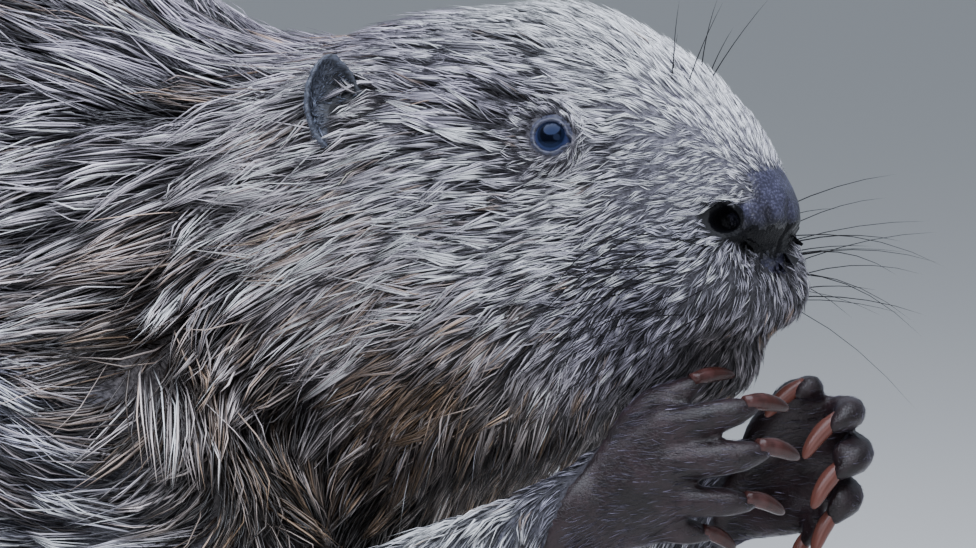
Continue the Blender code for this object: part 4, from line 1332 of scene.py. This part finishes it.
# Wet eyeball: a film of tears over a dark ball, so it is nearly black with one soft cool highlight.
def makeEyeGlaze():
    material, tree, shader = newMaterial("wetEyeball")
    turned = addNode(tree, "Attribute", attribute_name="fromPupil").outputs["Fac"]
    ramp = addNode(tree, "ValToRGB", {"Fac": turned})
    setStops(ramp, [(angle / 90, colour) for angle, colour in eyePlan["colours"]])
    wire(shader, {"Base Color": ramp, "Roughness": 0.14, "IOR": 1.38, "Specular Tint": rgba("#9db8ff")})
    return material


def makeEye(side, glaze):
    centre, radius = eyeBall(side)
    axis = Vector(eyeAxes[side])
    bm = bmesh.new()
    bmesh.ops.create_uvsphere(bm, u_segments=64, v_segments=40, radius=radius * eyePlan["size"])
    turn = Vector((0, 0, 1)).rotation_difference(axis).to_matrix()
    bmesh.ops.rotate(bm, verts=bm.verts, matrix=turn)
    angles = []
    for vert in bm.verts:
        angle = math.degrees(vert.co.angle(axis))
        vert.co += axis * eyePlan["bulge"] * mm * float(1 - smoothStep(*eyePlan["bulgeFade"], angle))
        angles.append(angle / 90)
    bmesh.ops.translate(bm, verts=bm.verts, vec=centre)
    eye = objectFrom("eyeball_" + side, bm)
    addLayer(eye.data, "fromPupil", angles)
    finishPiece(eye, ["eye_" + side], glaze)


glaze = makeEyeGlaze()
for side in sides:
    makeEye(side, glaze)
report("eyes")


# Claw horn: keratin in long fibres, polished by wear, so it shines; pinkish at the root and brown below.
def makeClawHorn():
    material, tree, shader = newMaterial("polishedClawHorn")
    uv = addNode(tree, "UVMap", uv_map="alongUv")
    parts = addNode(tree, "SeparateXYZ", {"Vector": uv})
    place = addNode(tree, "TexCoord").outputs["Object"]
    cloud = addNode(tree, "TexNoise", {"Vector": place, "Scale": 1 / (3.5 * mm), "Detail": 3.0})
    fibres = addNode(tree, "Mapping", {"Vector": uv, "Scale": (26.0, 2.0, 1.0)})
    streak = addNode(tree, "TexNoise", {"Vector": fibres, "Scale": 1.0, "Detail": 3.0})
    ramp = addNode(tree, "ValToRGB", {"Fac": parts.outputs["Y"]})
    setStops(ramp, clawPlan["colours"])
    clouded = blend(tree, cloud, 0.42, 0.62, ramp, rgba(clawPlan["brownHex"]), 0.6)
    pale = addNode(tree, "Attribute", attribute_name="paleness").outputs["Fac"]
    mixed = addNode(tree, "MixRGB", {"Fac": pale, "Color1": clouded, "Color2": rgba(clawPlan["paleHex"])})
    colour = shade(tree, mixed, streak, 0.3, 0.7, 0.8, 1.2)
    bump = addNode(tree, "Bump", {"Height": streak, "Strength": 0.25, "Distance": 0.15 * mm})
    wire(shader, {"Base Color": colour, "Normal": bump, "Roughness": 0.25, "Specular IOR Level": 0.3})
    return material


def makeClaw(node, limb, horn):
    start, along, down, length, halfWide, halfHigh = clawFrame(node, limb)
    kind, side = node.split("_")[1:3]
    stations = np.array((*clawPlan["stations"], 1.0))
    drop = length * clawPlan["bend"][kind] * (stations**2.2 - 0.35)
    centres = start + np.outer(stations * length, along) + np.outer(drop, down)
    taper = (1 - clawPlan["taper"] * stations**1.6) * np.sqrt(np.clip(1 - stations**7, 0, 1))
    taper *= clawPlan["root"] + (1 - clawPlan["root"]) * smoothStep(0.0, 0.4, stations)
    bm = rodShape(clawPlan["corners"], clawPlan["stations"])
    addAlong(bm)
    bendRod(bm, clawPlan["stations"], centres, halfWide * taper, halfHigh * taper, -down)
    bmesh.ops.recalc_face_normals(bm, faces=bm.faces)
    claw = objectFrom("horn_" + node, bm)
    addLayer(claw.data, "paleness", [clawPlan["pale"][f"{kind}_{side}"]] * len(claw.data.vertices))
    finishPiece(claw, [node], horn)


horn = makeClawHorn()
for side in sides:
    for limb in ("hand", "foot"):
        for digit in digits:
            makeClaw(f"claw_{limb}_{side}_{digit}", f"{limb}_{side}", horn)
report("claws")


# Whiskers: stiff tapering hairs on the lip and a few above the nose. On the right they lie back along the
# cheek; on the left they reach forwards past the nose. Each way is an aim and a bend.
whiskerPlan = {
    "seed": 5,
    "corners": 5,
    "stations": (0.0, 0.12, 0.28, 0.45, 0.62, 0.8),
    "thick": 0.26,  # half of a whisker's thickness at its root, mm
    "heights": (250, 244, 238, 232),  # of the rows on the lip, mm
    "columns": (-14, -19, -24, -30, -36),  # mm from the tip of the nose
    "scatter": 1.5,
    "lengths": (38, 68),
    "ways": {
        "right": ((-0.25, -0.75, -0.05), (-0.75, 0.35, -0.35)),
        "left": ((0.62, 0.80, 0.2), (-0.10, 0.20, -0.52)),
    },
    "fan": (0.010, 240, -3),  # how much higher rows aim up: share for each mm above a height, and the least mm
    # Each of these is one whisker: back, height, length.
    "lying": {
        "right": ((-23, 256, 40), (-29, 249, 46), (-21, 247, 38), (-34, 256, 34), (-30, 241, 40)),
        "left": (),
    },
    "lyingWay": ((-0.85, -0.62, 0.05), (0.1, 0.12, -0.62)),
    # One on each side: back, outwards, aim, length.
    "brow": ((-31, 7, (0.50, 0.25, 1.0), 30), (-35, 9, (0.05, 0.1, 1.0), 24), (-34, 12, (0.2, 0.3, 0.9), 17)),
    "browBend": (0.12, 0.05, 0.0),
}


# Whisker keratin: solid, black and smooth, with little shine.
def makeWhiskerHair():
    material, tree, shader = newMaterial("stiffWhiskerHair")
    place = addNode(tree, "TexCoord").outputs["Object"]
    grain = addNode(tree, "TexNoise", {"Vector": place, "Scale": 1 / (4 * mm), "Detail": 2.0})
    colour = addNode(tree, "MixRGB", {"Fac": grain, "Color1": rgba("#070607"), "Color2": rgba("#1c191b")})
    wire(shader, {"Base Color": colour, "Roughness": 0.45, "Specular IOR Level": 0.12})
    return material


def whiskerRoot(x, y, z, way):
    # 1 mm under the skin, where a straight line from outside meets it
    seat, normal, _ = ground.under((noseX + x * mm, y, z), way)
    return None if seat is None else np.array(seat - normal * mm)


def addWhisker(both, root, aim, bend, length, thick):
    stations = np.array((*whiskerPlan["stations"], 1.0))
    path = root + np.outer(stations * length * mm, aim) + np.outer(stations**2 * length * mm, bend)
    bm = rodShape(whiskerPlan["corners"], whiskerPlan["stations"])
    half = whiskerPlan["thick"] * thick * mm * (1 - 0.8 * stations)
    bendRod(bm, whiskerPlan["stations"], path, half, half, (0, 0, 1))
    joinTo(both, bm)


def makeWhiskers():
    rng = np.random.default_rng(whiskerPlan["seed"])
    both = bmesh.new()
    far, (fan, level, least) = whiskerPlan["scatter"], whiskerPlan["fan"]
    for side, sign in sides.items():
        aim, bend = (np.array(v) for v in whiskerPlan["ways"][side])
        for height in whiskerPlan["heights"]:
            for column in whiskerPlan["columns"]:
                x, z = column + rng.uniform(-far, far), height + rng.uniform(-far, far)
                root = whiskerRoot(x, sign * 0.08, z * mm, (0, -sign, 0))
                if root is None:
                    continue
                turned = unit(aim + rng.normal(0, 0.16, 3) + np.array((0, 0, fan * max(z - level, least))))
                length = rng.uniform(*whiskerPlan["lengths"])
                addWhisker(both, root, turned, bend * rng.uniform(0.3, 1.0), length, rng.uniform(0.6, 1.0))
        aim, bend = (np.array(v) for v in whiskerPlan["lyingWay"])
        for x, z, length in whiskerPlan["lying"][side]:
            root = whiskerRoot(x, sign * 0.08, z * mm, (0, -sign, 0))
            addWhisker(both, root, unit(aim + rng.normal(0, 0.08, 3)), bend, length, 1.25)
    for x, y, aim, length in whiskerPlan["brow"]:
        for sign in sides.values():
            root = whiskerRoot(x, sign * y * mm, 0.4, (0, 0, -1))
            mirror = np.array((1, sign, 1))
            addWhisker(both, root, unit(aim * mirror), whiskerPlan["browBend"] * mirror, length, 0.8)
    finishPiece(objectFrom("whiskers", both), [], makeWhiskerHair())


makeWhiskers()
report("whiskers")


def makeTailScales():
    # rows of low six-sided plates over the top of the paddle
    low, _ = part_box("tail")
    bm = bmesh.new()
    bmesh.ops.create_cone(bm, cap_ends=True, segments=6, radius1=1.0, radius2=0.72, depth=0.22)
    bmesh.ops.rotate(bm, verts=bm.verts, matrix=Matrix.Rotation(math.radians(90), 3, "Z"))
    plate = bpy.data.meshes.new("plate")
    bm.to_mesh(plate)
    bm.free()
    rng = np.random.default_rng(tailPlan["seed"])
    step, apart = tailPlan["step"] * mm, tailPlan["apart"] * mm
    start = noseX + tailPlan["bareFrom"] * mm
    rows = int((start - low.x) / step)
    both = bmesh.new()
    for i in range(rows):
        for j in range(-tailPlan["columns"], tailPlan["columns"] + 1):
            seat, normal, face = ground.under((start - i * step, (j + 0.5 * (i % 2)) * apart, 0.2), (0, 0, -1))
            if seat is None or not ownedBy["tail"][face] or normal.z < tailPlan["steepest"]:
                continue
            size = tailPlan["half"] * mm * rng.uniform(*tailPlan["sizes"])
            size *= 1 - tailPlan["endShrink"] * float(smoothStep(0.6, 1.0, i / rows))
            turn = Vector((0, 0, 1)).rotation_difference(normal).to_matrix().to_4x4()
            tilt = Matrix.Rotation(math.radians(rng.uniform(*tailPlan["tilts"])), 4, "Y")
            place = (Matrix.Translation(seat) @ turn @ tilt
                     @ Matrix.Diagonal((size * 1.12, size, size * tailPlan["rise"], 1)))
            made = len(both.verts)
            both.from_mesh(plate)
            both.verts.ensure_lookup_table()
            bmesh.ops.transform(both, matrix=place, verts=both.verts[made:])
    scales = objectFrom("tailScales", both)
    bpy.data.meshes.remove(plate)
    scales.data.materials.append(makeTailHorn("rubbedTailHorn", "#1c1817", "#4b443f"))
    finishPiece(scales, ["tail"])
    report(f"tail scales: {len(scales.data.polygons)} faces")


makeTailScales()


# The room: a plain pale floor and soft light from above. The camera is to the animal's right and a little ahead.
room = {
    "floorHalf": 150.0,
    "floorHex": "#d9d7d3",
    "skyHex": "#d3dff0",
    "skyStrength": 0.5,
    # Each light: place from the nose's tip, size, watts and colour.
    "lights": {
        "overhead": ((-0.05, -0.45, 1.55), 2.2, 66.0, "#e9f0ff"),
        "frontFill": ((1.3, -1.2, 0.9), 1.4, 9.0, "#f4f6ff"),
    },
    "lightsAim": (-0.08, 0.0, 0.26),
    "azimuth": 30.0,
    "elevation": 4.5,
    "distance": 2.2,
    "viewWidth": 0.2958,
    "aimLeft": 0.0915,
    "aimDown": 0.0179,
    "sensor": 36.0,
}


# Matte painted floor: pale and even, so that it shows only soft shadows.
def makeFloor():
    bm = bmesh.new()
    bmesh.ops.create_grid(bm, x_segments=2, y_segments=2, size=room["floorHalf"])
    floor = objectFrom("floor", bm)
    material, tree, shader = newMaterial("mattePaintedFloor")
    place = addNode(tree, "TexCoord").outputs["Object"]
    grain = addNode(tree, "TexNoise", {"Vector": place, "Scale": 60.0, "Detail": 4.0})
    bump = addNode(tree, "Bump", {"Height": grain, "Strength": 0.05, "Distance": 1 * mm})
    wire(shader, {"Normal": bump, "Base Color": rgba(room["floorHex"]), "Roughness": 0.9})
    floor.data.materials.append(material)


def addSoftLight(name, place, size, watts, colour):
    lamp = bpy.data.lights.new(name, "AREA")
    lamp.shape = "DISK"
    lamp.size, lamp.energy, lamp.color = size, watts, hexColour(colour)
    light = addObject(name, lamp)
    (x, *rest), (aimX, *aimRest) = place, room["lightsAim"]
    light.location = (noseX + x, *rest)
    aim = Vector((noseX + aimX, *aimRest))
    light.rotation_euler = (aim - Vector((noseX + x, *rest))).to_track_quat("-Z", "Y").to_euler()


def lightRoom():
    world = bpy.data.worlds.new("softSky")
    bpy.context.scene.world = world
    world.use_nodes = True
    wire(world.node_tree.nodes["Background"], {"Color": rgba(room["skyHex"]), "Strength": room["skyStrength"]})
    for name, settings in room["lights"].items():
        addSoftLight(name, *settings)


def addCamera():
    azimuth, elevation = math.radians(room["azimuth"]), math.radians(room["elevation"])
    back = Vector((math.sin(azimuth) * math.cos(elevation), -math.cos(azimuth) * math.cos(elevation),
                   math.sin(elevation)))
    right = Vector((math.cos(azimuth), math.sin(azimuth), 0))
    up = back.cross(right)
    nose = Vector((noseX, 0, nosePlan["middle"] * mm))
    camera = bpy.data.cameras.new("camera")
    camera.sensor_width = room["sensor"]
    camera.lens = room["sensor"] * room["distance"] / room["viewWidth"]
    camera.clip_end = 400
    view = addObject("camera", camera)
    view.location = nose - right * room["aimLeft"] - up * room["aimDown"] + back * room["distance"]
    view.rotation_euler = (-back).to_track_quat("-Z", "Y").to_euler()
    bpy.context.scene.camera = view


makeFloor()
lightRoom()
addCamera()
finishPiece(skin, fleshNodes)
